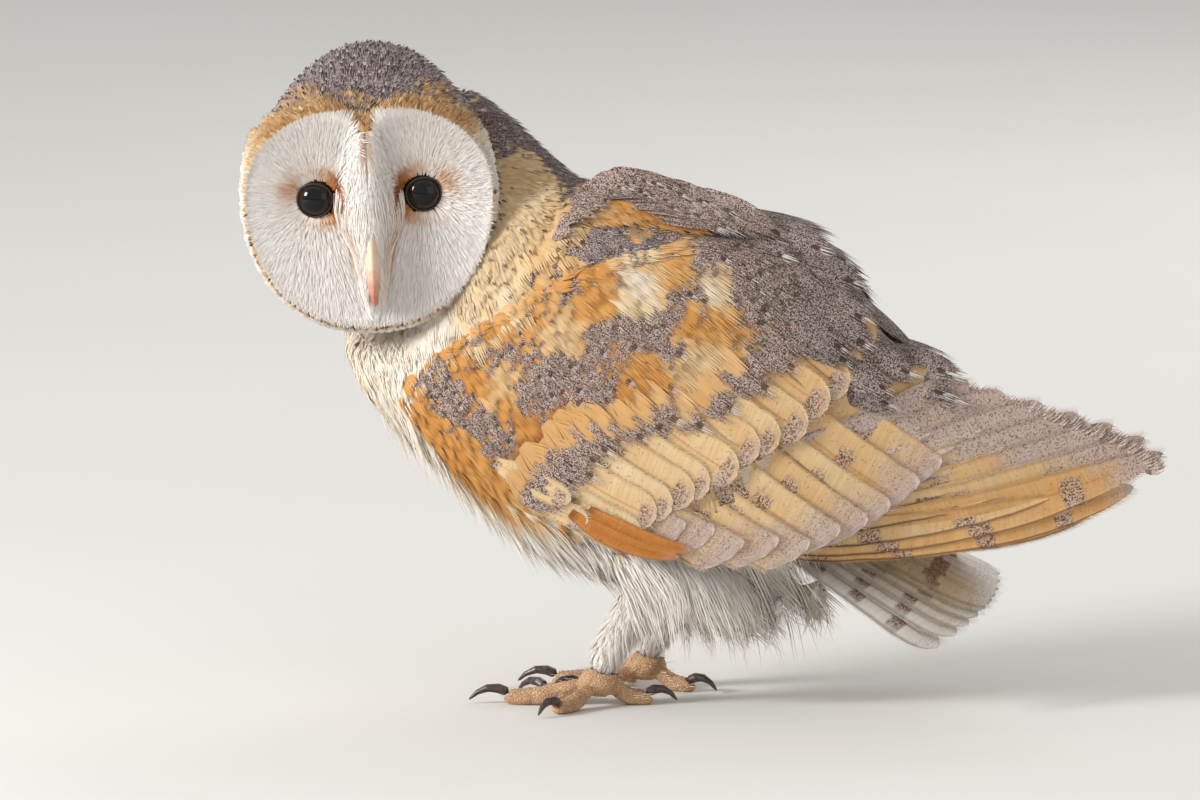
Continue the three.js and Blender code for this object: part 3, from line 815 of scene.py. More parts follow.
@dataclass(frozen=True)
class Tuft:
    """How a soft feather of loose barbs is cut."""

    strips: int = 5
    steps: int = 3
    lift: float = 1.4 * MM  # how far the tip stands off
    sunk: float = 0.4 * MM  # root below the skin
    camber: float = 0.22
    root: float = 0.55  # width of the root as a share of the widest
    split: float = 0.5  # where its barbs part
    ragged: float = 0.16
    blunt: float = 0.3  # how much shorter the outer barbs are
    fan: float = 0.0  # how far the barbs spread
    sag: float = 0.0  # how far the tip hangs

    def cut(self, lay: Lay, rng: Rng) -> Sheets:
        """Cuts every feather of a lay.

        Args:
            lay: Where they lie.
            rng: Source of their small differences.

        Returns:
            One sheet for each barb strip.
        """
        count, strips, steps = lay.count, self.strips, self.steps
        edges = np.linspace(-1, 1, strips + 1)
        middles = (edges[1:] + edges[:-1]) / 2
        half = 1 / strips
        level = np.arange(steps + 1) / steps
        reach = 1 - self.blunt * middles**2
        reach = reach[None] * (1 + rng.uniform(-self.ragged, self.ragged * 0.5, (count, strips)))
        share = reach[..., None] * level[None, None]
        taper = 1 - (np.maximum(level - self.split, 0) / (1 - self.split)) ** 1.5
        place, out, side = lay.at(share)
        envelope = ramp(level, [(0, self.root), (0.35, 1), (0.7, 1), (1, 0.86)])
        spread = 1 + self.fan * level**2
        wobble = rng.uniform(-0.25, 0.25, (count, strips, 1)) * half * level[None, None] ** 2 * 2
        centre = middles[None, :, None] * envelope * spread + wobble
        width = lay.widths[:, None, None]
        rise = rng.uniform(0.75, 1.25, (count, 1, 1)) * self.lift * share**1.5
        rise = rise - self.sunk * (1 - share) ** 2 + rng.uniform(-0.12, 0.12, (count, strips, 1)) * MM * level
        down = np.array([0.0, 0.0, -1.0]) * (self.sag * lay.lengths[:, None, None] * share**2)[..., None]
        sheets = []
        for hand in (-1, 1):
            across = centre + hand * half * taper * envelope * (1.04 if strips > 1 else 1.0)
            height = rise - self.camber * width * across**2
            border = place + side * (across * width)[..., None] + out * height[..., None] + down
            sheets.append((border, across))
        (left, left_across), (right, right_across) = sheets
        size = 2 * steps + 1
        rows = np.stack([left[:, :, :-1], right[:, :, :-1]], axis=3).reshape(count, strips, size - 1, 3)
        points = np.concatenate([rows, ((left + right) / 2)[:, :, -1:]], axis=2)
        sides = np.stack([left_across[:, :, :-1], right_across[:, :, :-1]], axis=3)
        sides = sides.reshape(count, strips, size - 1)
        sides = np.concatenate([sides, centre[:, :, -1:]], axis=2)
        shares = np.concatenate([np.repeat(share[:, :, :-1], 2, axis=2), share[:, :, -1:]], axis=2)
        starts = np.arange(count * strips)[:, None] * size
        k = np.arange(steps - 1) * 2
        quads = (starts[:, :, None] + np.stack([k, k + 1, k + 3, k + 2], axis=1)[None]).reshape(-1, 4)
        triangles = starts + np.arange(size - 3, size)
        uv = lay.uv[:, None, None] + np.stack([sides, shares * 2 - 1], axis=3) * (lay.patch / 2)
        return Sheets(points.reshape(-1, 3), quads, triangles, uv.reshape(-1, 2), *lay.marks(shares, sides))


@dataclass(frozen=True)
class Quill:
    """How a large closed feather is cut: a thin vane on a shaft, with fringed edges."""

    rows: int = 22
    columns: int = 10
    thickness: float = 0.5 * MM
    lift: float = 0.0
    camber: float = 0.12
    tilt: float = 0.0  # one side above the other, as a share of the half width
    root: float = 0.4
    tip: float = 0.22  # share of the length that rounds off the tip
    point: float = 0.0  # how pointed that end is
    slant: float = 0.0  # how much further the upper edge reaches than the lower one
    shaft: float = 0.45 * MM
    fringe: float = 0.9 * MM  # length of the barbs that stand free at its edge
    fringe_pitch: float = 0.55 * MM

    def width(self, share: Array) -> Array:
        """Half width at shares along the feather, as a share of the widest."""
        base = self.root + (1 - self.root) * smooth(0, 0.3, share)
        end = np.clip((share - (1 - self.tip)) / self.tip, 0, 1)
        closing = np.sqrt(np.clip(1 - end ** (2 + self.point * -0.6), 0, 1))
        return base * np.maximum(closing, 0.02)

    def skew(self, lay: Lay, share: Array, across: Array) -> Array:
        """How far places move along the feather for its slanted end."""
        way = lay.spread(unit(lay.places[:, 2] - lay.places[:, 1]), share)
        return way * (self.slant * lay.spread(lay.widths, share) * across * smooth(0.75, 1, share))[..., None]

    def height(self, lay: Lay, share: Array, across: Array) -> Array:
        """How far its face stands off the lie at shares along and across."""
        widths = lay.spread(lay.widths, share)
        return self.lift * share**1.4 - self.camber * widths * across**2 + self.tilt * widths * across

    def cut(self, lay: Lay, rng: Rng) -> Sheets:
        """Cuts every feather of a lay, each with its own field of the bake map.

        Args:
            lay: Where they lie.
            rng: Source of their small differences.

        Returns:
            Vanes, shafts and fringes together.
        """
        cells = math.ceil(math.sqrt(lay.count))
        corner = np.stack([np.arange(lay.count) % cells, np.arange(lay.count) // cells], axis=1) / cells
        parts = [self._vane(lay, corner, cells, rng)]
        if self.fringe:
            parts.append(self._fringe(lay, corner, cells, rng))
        return Sheets.joined(parts)

    def _vane(self, lay: Lay, corner: Array, cells: int, rng: Rng) -> Sheets:
        """The closed vanes, whose upper face carries the shaft as a ridge."""
        count, high, wide = lay.count, self.rows + 1, self.columns + 1
        share_line = 1 - (1 - np.linspace(0, 1, high)) ** 1.35
        share = np.broadcast_to(share_line[:, None], (count, high, wide))
        across = np.broadcast_to(np.linspace(-1, 1, wide), share.shape)
        notch = rng.uniform(-0.035, 0.02, share.shape) * (np.abs(across) > 0.99)
        half = self.width(share) * (1 + notch)
        place, out, side = lay.at(share)
        flat = place + side * (across * half * lay.widths[:, None, None])[..., None]
        flat = flat + self.skew(lay, share, across * half)
        height = self.height(lay, share, across * half)
        ridge = self.shaft * np.maximum(0, 1 - np.abs(across) * 4.5) * (1 - share * 0.85)
        edge = self.thickness * (0.5 - 0.4 * np.abs(across) ** 4)
        top = flat + out * (height + edge + ridge)[..., None]
        bottom = flat + out * (height - edge)[..., None]
        points = np.stack([top, bottom], axis=1).reshape(-1, 3)
        size = high * wide
        grid = np.arange(size).reshape(high, wide)
        first = grid[:-1, :-1].ravel()
        face = np.stack([first, first + 1, first + wide + 1, first + wide], axis=1)
        ring = np.concatenate([grid[0, :-1], grid[:-1, -1], grid[-1, :0:-1], grid[:0:-1, 0]])
        wall = np.stack([ring, ring + size, np.roll(ring, -1) + size, np.roll(ring, -1)], axis=1)
        cell = np.concatenate([face[:, ::-1], face + size, wall])
        quads = (np.arange(count)[:, None, None] * 2 * size + cell[None]).reshape(-1, 4)
        vane, tones = lay.marks(*(np.stack([values, values], axis=1) for values in (share, across)))
        uv = self._field(corner, cells, share, across)
        uv = np.stack([uv, uv + np.array([0.5 / cells, 0])], axis=1).reshape(-1, 2)
        return Sheets(points, quads, np.zeros((0, 3), int), uv, vane, tones)

    @staticmethod
    def _field(corner: Array, cells: int, share: Array, across: Array) -> Array:
        """Places in one feather's field of the bake map."""
        inside = np.stack([(across + 1) / 2 * 0.44 + 0.03, share * 0.94 + 0.03], axis=-1)
        return corner.reshape(-1, *(1,) * (share.ndim - 1), 2) + inside / cells

    def _fringe(self, lay: Lay, corner: Array, cells: int, rng: Rng) -> Sheets:
        """Loose barbs along both edges and round the tip."""
        number = int(lay.lengths.max() / self.fringe_pitch)
        share = np.tile(np.linspace(0.12, 0.998, number), (lay.count, 2))
        share = np.clip(share + rng.uniform(-0.4, 0.4, share.shape) / number, 0, 0.999)
        hand = np.tile(np.repeat([-1.0, 1.0], number), (lay.count, 1))
        ends = np.clip(share + 0.012 + 0.6 * self.fringe / lay.lengths[:, None], 0, 1.03)
        size = self.fringe * rng.uniform(0.5, 1.3, share.shape)
        across = hand * self.width(share)
        thin = 0.5 * self.fringe_pitch
        corners = []
        for shift, reach in ((-thin, -0.4), (thin, -0.4), (0.0, 1.0)):
            where = np.where(reach > 0, np.minimum(ends, 1.0), share) + shift / lay.lengths[:, None]
            place, out, side = lay.at(np.clip(where, 0, 1))
            flat = place + side * (across * lay.widths[:, None] + hand * size * reach)[..., None]
            flat = flat + self.skew(lay, share, across)
            if reach > 0:
                way = unit(lay.places[:, 2] - lay.places[:, 1])[:, None]
                flat = flat + way * (size * (1 + smooth(0.85, 1, share)))[..., None]
            corners.append(flat + out * self.height(lay, share, across)[..., None])
        points = np.stack(corners, axis=2).reshape(-1, 3)
        triangles = np.arange(len(points)).reshape(-1, 3)
        shares, sides = (np.repeat(values[..., None], 3, axis=2) for values in (share, hand * 0.9))
        uv = self._field(corner, cells, shares, sides).reshape(-1, 2)
        return Sheets(points, np.zeros((0, 4), int), triangles, uv, *lay.marks(shares, sides))


# ---- the head's own axes


@dataclass(frozen=True)
class Face:
    """The facial disc, measured from between the eyes: across to the bird's left, ahead and up."""

    half_width: float = 47.5 * MM
    rise: float = 34.5 * MM
    drop: float = 50.5 * MM
    notch: float = 7.5 * MM
    notch_width: float = 9 * MM
    full_top: float = 2.3
    full_bottom: float = 2.2
    rim: float = 30 * MM
    sweep: float = 6.5 * MM
    dish: float = 5.5 * MM
    dish_power: float = 2.4
    eye_depth: float = 18.4 * MM
    crest: float = 11.5 * MM  # height of the wedge between the eyes
    crest_level: float = -14 * MM
    crest_up: float = 44 * MM
    crest_down: float = 32 * MM
    wedge: Pairs = (
        (-46 * MM, 4.5 * MM), (-34 * MM, 5.2 * MM), (-26 * MM, 7 * MM), (-14 * MM, 10 * MM),
        (-4 * MM, 13 * MM), (4 * MM, 14 * MM), (14 * MM, 11 * MM), (30 * MM, 6 * MM),
    )

    @property
    def axes(self) -> Array:
        """Rows: across, ahead and up."""
        left, right = self.eyes
        across = unit(left - right)
        ahead = unit(np.cross(across, [0.0, 0.0, 1.0]))
        return np.stack([across, ahead, np.cross(ahead, across)])

    @property
    def eyes(self) -> tuple[Array, Array]:
        """Centres of the left and the right eye."""
        return tuple(np.array((low + high) / 2) for low, high in (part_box("eye_left"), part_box("eye_right")))

    @property
    def origin(self) -> Array:
        """The point that the face is measured from."""
        left, right = self.eyes
        return (left + right) / 2 - self.axes[1] * self.eye_depth

    @property
    def eye_side(self) -> float:
        """How far across each eye is."""
        left, right = self.eyes
        return float(np.linalg.norm(left - right)) / 2

    def local(self, points: Array) -> tuple[Array, Array, Array]:
        """Across, ahead and up of places."""
        found = (points - self.origin) @ self.axes.T
        return found[..., 0], found[..., 1], found[..., 2]

    def world(self, across: Array, ahead: Array, high: Array) -> Array:
        """Places from across, ahead and up."""
        return self.origin + np.stack([across, ahead, high], axis=-1) @ self.axes

    def edge(self, angle: Array) -> tuple[Array, Array]:
        """The disc's outline at angles from across, anticlockwise: across and up."""
        rising = np.sin(angle) > 0
        power = np.where(rising, self.full_top, self.full_bottom)
        side = np.sign(np.cos(angle)) * np.abs(np.cos(angle)) ** (2 / power) * self.half_width
        high = np.sign(np.sin(angle)) * np.abs(np.sin(angle)) ** (2 / power)
        high = high * np.where(rising, self.rise, self.drop)
        dip = np.where(rising, self.notch * np.exp(-((side / self.notch_width) ** 2)), 0)
        return side, high - dip

    def share(self, across: Array, high: Array) -> Array:
        """How far out a place is: 0 in the middle, 1 on the disc's outline."""
        rising = high > 0
        power = np.where(rising, self.full_top, self.full_bottom)
        dip = np.where(rising, self.notch * np.exp(-((across / self.notch_width) ** 2)), 0)
        reach = np.where(rising, self.rise - dip, self.drop)
        return (np.abs(across / self.half_width) ** power + np.abs(high / reach) ** power) ** (1 / power)

    def wedge_share(self, across: Array, high: Array) -> Array:
        """1 on the crest of the wedge between the eyes, 0 at its foot and beyond."""
        return np.clip(1 - np.abs(across) / ramp(high, self.wedge), 0, 1)

    def depth(self, across: Array, high: Array) -> Array:
        """How far ahead the face stands."""
        out = np.minimum(self.share(across, high), 1.15)
        base = self.rim - self.sweep * (across / self.half_width) ** 2
        dish = self.dish * (1 - out**self.dish_power)
        from_peak = high - self.crest_level
        length = from_peak / np.where(from_peak > 0, self.crest_up, self.crest_down)
        height = self.crest * np.maximum(0, 1 - length**2)
        wedge = self.wedge_share(across, high)
        over = np.maximum(self.share(across, high) - 1, 0) * 30 * MM
        return base - dish + height * np.sin(wedge * math.pi / 2) ** 1.2 - over

    def unwrap(self, across: Array, high: Array) -> Array:
        """Places on the bake map, as the face is seen from the front."""
        tall = self.rise + self.drop
        return np.stack([across / (2 * self.half_width) + 0.5, (high + self.drop) / tall], axis=1)

    def surface(self, across: Array, high: Array) -> tuple[Array, Array]:
        """Places on the face and the outward direction there."""
        step = 0.6 * MM
        across_slope = (self.depth(across + step, high) - self.depth(across - step, high)) / (2 * step)
        high_slope = (self.depth(across, high + step) - self.depth(across, high - step)) / (2 * step)
        out = unit(np.stack([-across_slope, np.ones_like(across), -high_slope], axis=-1)) @ self.axes
        return self.world(across, self.depth(across, high), high), out


FACE = Face()


# ---- the skin


@dataclass
class Roots:
    """Places on the skin where feathers start."""

    points: Array
    outward: Array
    uv: Array

    def only(self, kept: Array) -> "Roots":
        """Those that are kept."""
        return Roots(self.points[kept], self.outward[kept], self.uv[kept])


class Skin:
    """One skin over head, neck, trunk, wings and legs, which lies inside them by the coat's depth."""

    VOXEL = 1.9 * MM
    SMOOTHING = 7  # rounds
    VENT_DEPTH = 12 * MM  # more depth behind and between the thighs, for the long feathers there
    DISC_DEPTH = 1.2 * MM
    SOCKET_DEPTH = 4 * MM
    CROWDING = 0.82  # least distance of two roots as a share of their spacing
    DEPTHS = {
        Part.HEAD: 1.8 * MM, Part.NECK: 2.4 * MM, Part.TRUNK: 2.6 * MM, Part.WING: 3.4 * MM,
        Part.THIGH: 2.4 * MM, Part.TARSUS: 1.2 * MM,
    }
    NODES = {
        "head": Part.HEAD, "neck": Part.NECK, "trunk": Part.TRUNK,
        "wing_left": Part.WING, "wing_right": Part.WING, "thigh_left": Part.THIGH, "thigh_right": Part.THIGH,
        "tarsus_left": Part.TARSUS, "tarsus_right": Part.TARSUS,
    }

    def __init__(self) -> None:
        """Makes the mesh, its unwrap and its search tree."""
        self.mesh = remeshed("skin", list(self.NODES), self.VOXEL, self.SMOOTHING)
        self._read()
        labels = self._labels()
        depth = np.array([self.DEPTHS[part] for part in Part])[labels]
        rear = spot("thigh_left", 0.5, 0, 0)[0], spot("thigh_left", 1.1, 0, 0)[0]
        low = smooth(*(spot("thigh_left", 0, 0, share)[2] for share in (1.1, 0.4)), self.points[:, 2])
        low = low * (labels != Part.WING.value)
        depth = depth + self.VENT_DEPTH * smooth(*rear, self.points[:, 0]) * low
        move_to(self.mesh, self._with_face(self.points - self.normals * depth[:, None], labels))
        self.piece = add_piece("skin", self.mesh)
        self._unwrap()
        self._read()
        self.vertex_labels = labels
        self.labels = labels[self.triangles[:, 0]]
        self.tree = BVHTree.FromPolygons(self.points.tolist(), self.triangles.tolist())

    def _read(self) -> None:
        """Reads the mesh into arrays."""
        mesh = self.mesh
        mesh.calc_loop_triangles()
        self.points = column(mesh.vertices, "co", 3)
        self.normals = column(mesh.vertex_normals, "vector", 3)
        self.triangles = column(mesh.loop_triangles, "vertices", 3, int)
        if BAKE_MAP in mesh.uv_layers:
            flat = column(mesh.uv_layers[BAKE_MAP].data, "uv", 2)
            self.uv = flat[column(mesh.loop_triangles, "loops", 3, int)]

    def _labels(self) -> Array:
        """Which part of the flesh each vertex is nearest to."""
        corners, triangles, owners = node_arrays(list(self.NODES))
        parts = np.array([part.value for part in self.NODES.values()])[owners]
        tree = BVHTree.FromPolygons(corners.tolist(), triangles.tolist())
        return parts[[tree.find_nearest(point)[2] for point in self.points.tolist()]]

    def _with_face(self, points: Array, labels: Array) -> Array:
        """Brings the facial disc to its exact form."""
        across, ahead, high = FACE.local(points)
        out = FACE.share(across, high)
        weight = (labels == Part.HEAD.value) * smooth(8 * MM, 13 * MM, ahead) * smooth(1.04, 0.94, out)
        wanted = FACE.depth(across, high) - self.DISC_DEPTH
        eye = np.hypot(np.abs(across) - FACE.eye_side, high)
        wanted = wanted - self.SOCKET_DEPTH * smooth(7.8 * MM, 5 * MM, eye)
        ahead = ahead + (wanted - ahead) * weight
        return FACE.world(across, ahead, high)

    def _unwrap(self) -> None:
        """Unwraps the skin's own shape into the bake map."""
        self.mesh.uv_layers.new(name=BAKE_MAP)
        bpy.context.view_layer.objects.active = self.piece
        self.piece.select_set(True)
        bpy.ops.object.mode_set(mode="EDIT")
        bpy.ops.mesh.select_all(action="SELECT")
        bpy.ops.uv.smart_project(angle_limit=math.radians(66), island_margin=0.004)
        bpy.ops.object.mode_set(mode="OBJECT")
        self.piece.select_set(False)

    def _read_at(self, chosen: Array, weights: Array) -> Roots:
        """Places inside chosen triangles."""
        corners = self.triangles[chosen]
        mixed = weights[..., None]
        points = (self.points[corners] * mixed).sum(axis=1)
        outward = unit((self.normals[corners] * mixed).sum(axis=1))
        return Roots(points, outward, (self.uv[chosen] * mixed).sum(axis=1))

    def nearest(self, points: Array) -> Roots:
        """The nearest places on the skin."""
        shape = points.shape
        found = [self.tree.find_nearest(point) for point in points.reshape(-1, 3).tolist()]
        chosen = np.array([hit[2] for hit in found])
        hits = np.array([tuple(hit[0]) for hit in found])
        a, b, c = (self.points[self.triangles[chosen, k]] for k in range(3))
        normal = np.cross(b - a, c - a)
        scale = np.maximum((normal**2).sum(axis=1), 1e-18)
        first = (np.cross(c - b, hits - b) * normal).sum(axis=1) / scale
        second = (np.cross(a - c, hits - c) * normal).sum(axis=1) / scale
        weights = np.clip(np.stack([first, second, 1 - first - second], axis=1), 0, 1)
        roots = self._read_at(chosen, weights / weights.sum(axis=1, keepdims=True))
        return Roots(roots.points.reshape(shape), roots.outward.reshape(shape), roots.uv)

    def scatter(self, spacing: float, keep: Callable[[Array, Array, Array], Array], seed: int) -> Roots:
        """Spreads roots evenly over part of the skin.

        Args:
            spacing: Distance between neighbours, in metres.
            keep: Says, from places, outward directions and labels, which to keep.
            seed: Chooses the places.

        Returns:
            The roots.
        """
        rng = np.random.default_rng(seed)
        a, b, c = (self.points[self.triangles[:, k]] for k in range(3))
        areas = np.linalg.norm(np.cross(b - a, c - a), axis=1) / 2
        number = int(areas.sum() / spacing**2 * 7)
        chosen = rng.choice(len(areas), number, p=areas / areas.sum())
        weights = rng.dirichlet((1.0, 1.0, 1.0), number)
        roots = self._read_at(chosen, weights)
        return self._thinned(roots.only(keep(roots.points, roots.outward, self.labels[chosen])), spacing)

    def _thinned(self, roots: Roots, spacing: float) -> Roots:
        """Keeps roots that are not too near an earlier one, which a grid of cells finds."""
        cells: dict[tuple[int, int, int], list[int]] = {}
        keys = np.floor(roots.points / spacing).astype(int).tolist()
        places = roots.points.tolist()
        limit = (spacing * self.CROWDING) ** 2
        steps = [(i, j, k) for i in (-1, 0, 1) for j in (-1, 0, 1) for k in (-1, 0, 1)]
        kept = []
        for index, (x, y, z) in enumerate(keys):
            px, py, pz = places[index]
            near = (places[other] for i, j, k in steps for other in cells.get((x + i, y + j, z + k), ()))
            if all((qx - px) ** 2 + (qy - py) ** 2 + (qz - pz) ** 2 > limit for qx, qy, qz in near):
                cells.setdefault((x, y, z), []).append(index)
                kept.append(index)
        return roots.only(kept)

    def lay(
        self, roots: Roots, ways: Array, lengths: Array, widths: Array, tones: Array, rng: Rng,
        rise: float = 0.0, free: float = 0.0,
    ) -> Lay:
        """Lays feathers along the skin.

        Args:
            roots: Where they start.
            ways: The direction in which each lies.
            lengths: Their lengths.
            widths: Their half widths.
            tones: Their tones.
            rng: Source of their small differences.
            rise: How far they lie off the skin.
            free: How far their ends leave the skin's shape and run straight.

        Returns:
            The lay.
        """
        out = roots.outward
        way = unit(ways - out * (ways * out).sum(axis=1, keepdims=True))
        half = lengths[:, None] / 2
        middle = self.nearest(roots.points + way * half)
        turned = unit(way - middle.outward * (way * middle.outward).sum(axis=1, keepdims=True))
        end = self.nearest(middle.points + turned * half)
        places = np.stack([roots.points, middle.points, end.points], axis=1)
        outward = np.stack([out, middle.outward, end.outward], axis=1)
        places = places + outward * rise
        leaving = (unit(ways) * out).sum(axis=1, keepdims=True) > 0
        loose = unit(way + np.where(leaving, unit(ways) * 1.5, 0))
        straight = roots.points[:, None] + loose[:, None] * half[:, None] * np.arange(3)[None, :, None]
        places = places + (straight - places) * free * np.array([0.0, 0.6, 1.0])[None, :, None]
        return Lay(places, outward, widths, roots.uv, tones, rng.uniform(0, 1, len(places)))


class Lie:
    """The direction in which the coat lies, read from a few guide strokes."""

    def __init__(self, strokes: list[tuple[Array, Point]]) -> None:
        """Keeps the strokes' places and directions."""
        self.places = np.array([place for place, _ in strokes])
        self.ways = unit(np.array([way for _, way in strokes]))

    def __call__(self, points: Array) -> Array:
        """Directions at places."""
        away = ((points[:, None] - self.places[None]) ** 2).sum(axis=2)
        weights = 1 / (away + (12 * MM) ** 2) ** 2
        return unit((weights[..., None] * self.ways[None]).sum(axis=1))


def spot(node: str, x: float, y: float, z: float) -> Array:
    """A place in a node's box, as shares of its sides."""
    low, high = (np.array(corner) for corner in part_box(node))
    return low + (high - low) * np.array([x, y, z])


def body_lie() -> Lie:
    """Guide strokes of head, neck, trunk and legs: places as shares of a node's box, and directions there."""
    back_x, back_y, _ = -FACE.axes[1]
    strokes = {
        "head": (
            ((0.5, 0.2, 1.0), (back_x, back_y, 0.25)), ((0.5, 0.6, 0.98), (back_x, back_y, -0.2)),
            ((0.5, 1.0, 0.6), (0.1, 0.35, -1.0)), ((0.95, 0.4, 0.7), (0.5, 0.75, -0.5)),
            ((0.97, 0.5, 0.35), (0.55, 0.5, -0.75)), ((0.05, 0.4, 0.75), (-0.1, 0.9, -0.2)),
            ((0.03, 0.5, 0.4), (0.1, 0.8, -0.6)), ((0.5, 0.6, 0.0), (0.45, 0.25, -0.9)),
        ),
        "neck": (
            ((0.75, 0.02, 0.5), (0.62, 0.0, -0.75)), ((0.75, 0.98, 0.5), (0.62, 0.0, -0.75)),
            ((0.4, 0.5, 0.9), (0.55, 0.3, -0.75)), ((0.95, 0.5, 0.85), (0.9, 0.0, -0.4)),
            ((0.0, 0.5, 0.2), (0.45, 0.0, -0.9)),
        ),
        "trunk": (
            ((0.65, 0.5, 1.0), (1.0, 0.0, -0.12)), ((0.85, 0.5, 0.9), (0.95, 0.0, -0.4)),
            ((1.0, 0.5, 0.55), (0.9, 0.0, -0.5)), ((0.05, 0.5, 0.6), (0.5, 0.0, -0.9)),
            ((0.25, 0.5, 0.3), (0.65, 0.0, -0.75)), ((0.5, 0.5, 0.02), (0.95, 0.0, -0.3)),
            ((0.5, 0.15, 0.1), (0.8, 0.0, -0.6)), ((0.5, 0.85, 0.1), (0.8, 0.0, -0.6)),
            ((0.9, 0.5, 0.15), (0.82, 0.0, -0.55)), ((0.45, 0.0, 0.45), (0.85, 0.0, -0.5)),
            ((0.45, 1.0, 0.45), (0.85, 0.0, -0.5)),
        ),
    }
    for side in Side:
        strokes[f"thigh_{side.word}"] = (
            ((0.25, 0.5, 0.3), (0.1, 0.0, -1.0)), ((0.7, 0.5, 0.3), (0.6, 0.0, -0.8)),
            ((1.0, 0.5, 0.4), (0.95, 0.0, -0.3)),
        )
        strokes[f"tarsus_{side.word}"] = (((0.5, 0.5, 0.4), (-0.35, 0.0, -0.95)),)
    return Lie([(spot(node, *at), way) for node, pairs in strokes.items() for at, way in pairs])


# ---- markings of head and body


@dataclass(frozen=True)
class Mark:
    """Colours at one place of the side view: millimetres behind and above the wing's low front corner."""

    at: tuple[float, float]
    warm: float
    grey: float = 0.0
    spots: float = 0.0


SIDE_MARKS = (
    # neck, from the throat up to the nape
    Mark((8, 71), 0.12), Mark((-6, 53), 0.04), Mark((24, 83), 0.3, 0, 0.3), Mark((39, 99), 0.33, 0, 0.8),
    Mark((46, 119), 0.34, 0, 0.8), Mark((39, 130), 0.4, 0, 0.6), Mark((56, 114), 0.46, 0, 0.95),
    Mark((60, 102), 0.5, 0.05, 0.9), Mark((65, 126), 0.45, 0.6, 0.8), Mark((51, 86), 0.36, 0, 0.6),
    Mark((40, 78), 0.3, 0, 0.5), Mark((55, 141), 0.42, 0.9, 0.8), Mark((36, 146), 0.34, 0.7, 0.8),
    Mark((72, 131), 0.45, 0.95, 0.8),
    # shoulder and the front of the wing
    Mark((17, 66), 0.7, 0, 0.8), Mark((41, 72), 0.72, 0, 0.95), Mark((57, 77), 0.68, 0, 0.95),
    Mark((66, 73), 0.42, 0, 0.3), Mark((72, 97), 0.74, 0.15, 0.4), Mark((107, 97), 0.62, 0, 0.2),
    Mark((80, 86), 0.72, 0, 0.3), Mark((50, 65), 0.7, 0.85, 0.95), Mark((38, 64), 0.7, 0.8, 0.95),
    Mark((15, 55), 0.7, 0.9, 0.8), Mark((25, 45), 0.7, 0.95, 0.9), Mark((32, 55), 0.78, 0.1, 0.8),
    Mark((45, 53), 0.5, 0.05, 0.7), Mark((6, 45), 0.7, 0, 0.3), Mark((12, 34), 0.74, 0, 0.3),
    Mark((64, 60), 0.72, 0.85, 0.95), Mark((79, 54), 0.72, 0.85, 0.95), Mark((56, 49), 0.72, 0.95, 0.8),
    Mark((79, 44), 0.72, 0.85, 0.9), Mark((40, 34), 0.7, 0.9, 0.9), Mark((94, 61), 0.72, 0.15, 0.8),
    Mark((93, 47), 0.76, 0.1, 0.4), Mark((118, 66), 0.42, 0, 0.4), Mark((134, 62), 0.6, 0.1, 0.5),
    Mark((143, 72), 0.62, 0.9, 0.8), Mark((102, 76), 0.66, 0.85, 0.9), Mark((84, 76), 0.66, 0.9, 0.9),
    Mark((118, 79), 0.72, 0.1, 0.4), Mark((132, 80), 0.7, 0.2, 0.4), Mark((137, 84), 0.62, 0.85, 0.8),
    Mark((111, 90), 0.6, 0.85, 0.9), Mark((95, 90), 0.2), Mark((122, 91), 0.28),
    Mark((133, 94), 0.6, 0.95, 0.8), Mark((146, 97), 0.6, 1, 0.8), Mark((66, 37), 0.74, 0.1, 0.5),
    Mark((71, 25), 0.66, 0.85, 0.8), Mark((60, 13), 0.66, 0.85, 0.8), Mark((30, 22), 0.74, 0, 0.2),
    Mark((46, 8), 0.72, 0, 0.1),
    Mark((52, 38), 0.78, 0, 0.3), Mark((97, 36), 0.66, 0.1, 0.4), Mark((128, 56), 0.7, 0.05, 0.4),
    Mark((119, 58), 0.44, 0, 0.3), Mark((155, 60), 0.6, 0.85, 0.7), Mark((160, 68), 0.6, 0.9, 0.7),
    # the grey shoulder feathers, the lifted fold and the mantle
    Mark((72, 105), 0.62, 1, 1), Mark((92, 108), 0.6, 1, 1), Mark((116, 105), 0.6, 1, 1),
    Mark((62, 98), 0.68, 0.7, 0.9), Mark((58, 91), 0.7, 0.6, 0.9), Mark((53, 86), 0.6, 0.4, 0.6),
    Mark((90, 118), 0.66), Mark((112, 116), 0.66), Mark((84, 130), 0.6, 0.9, 0.7),
    Mark((109, 127), 0.62, 0.7, 0.7), Mark((131, 124), 0.6, 0.9, 0.7),
    Mark((128, 111), 0.6, 1, 0.7), Mark((156, 110), 0.6, 1, 0.8),
    Mark((180, 90), 0.6, 1, 0.8), Mark((205, 60), 0.6, 1, 0.6), Mark((206, 30), 0.6, 0.45, 0.4),
    Mark((200, 10), 0.3),
)


def side_tones(x: Array, z: Array) -> Array:
    """Colours at places of the side view.

    Args:
        x: Millimetres behind the low front corner of the wing.
        z: Millimetres above it.

    Returns:
        Rows of warmth, share of grey and strength of the spot.
    """
    places = np.array([mark.at for mark in SIDE_MARKS])
    away = (x[:, None] - places[None, :, 0]) ** 2 + (z[:, None] - places[None, :, 1]) ** 2
    weights = 1 / (away + 6.0) ** 2.4
    weights /= weights.sum(axis=1, keepdims=True)
    return weights @ np.array([(mark.warm, mark.grey, mark.spots) for mark in SIDE_MARKS])


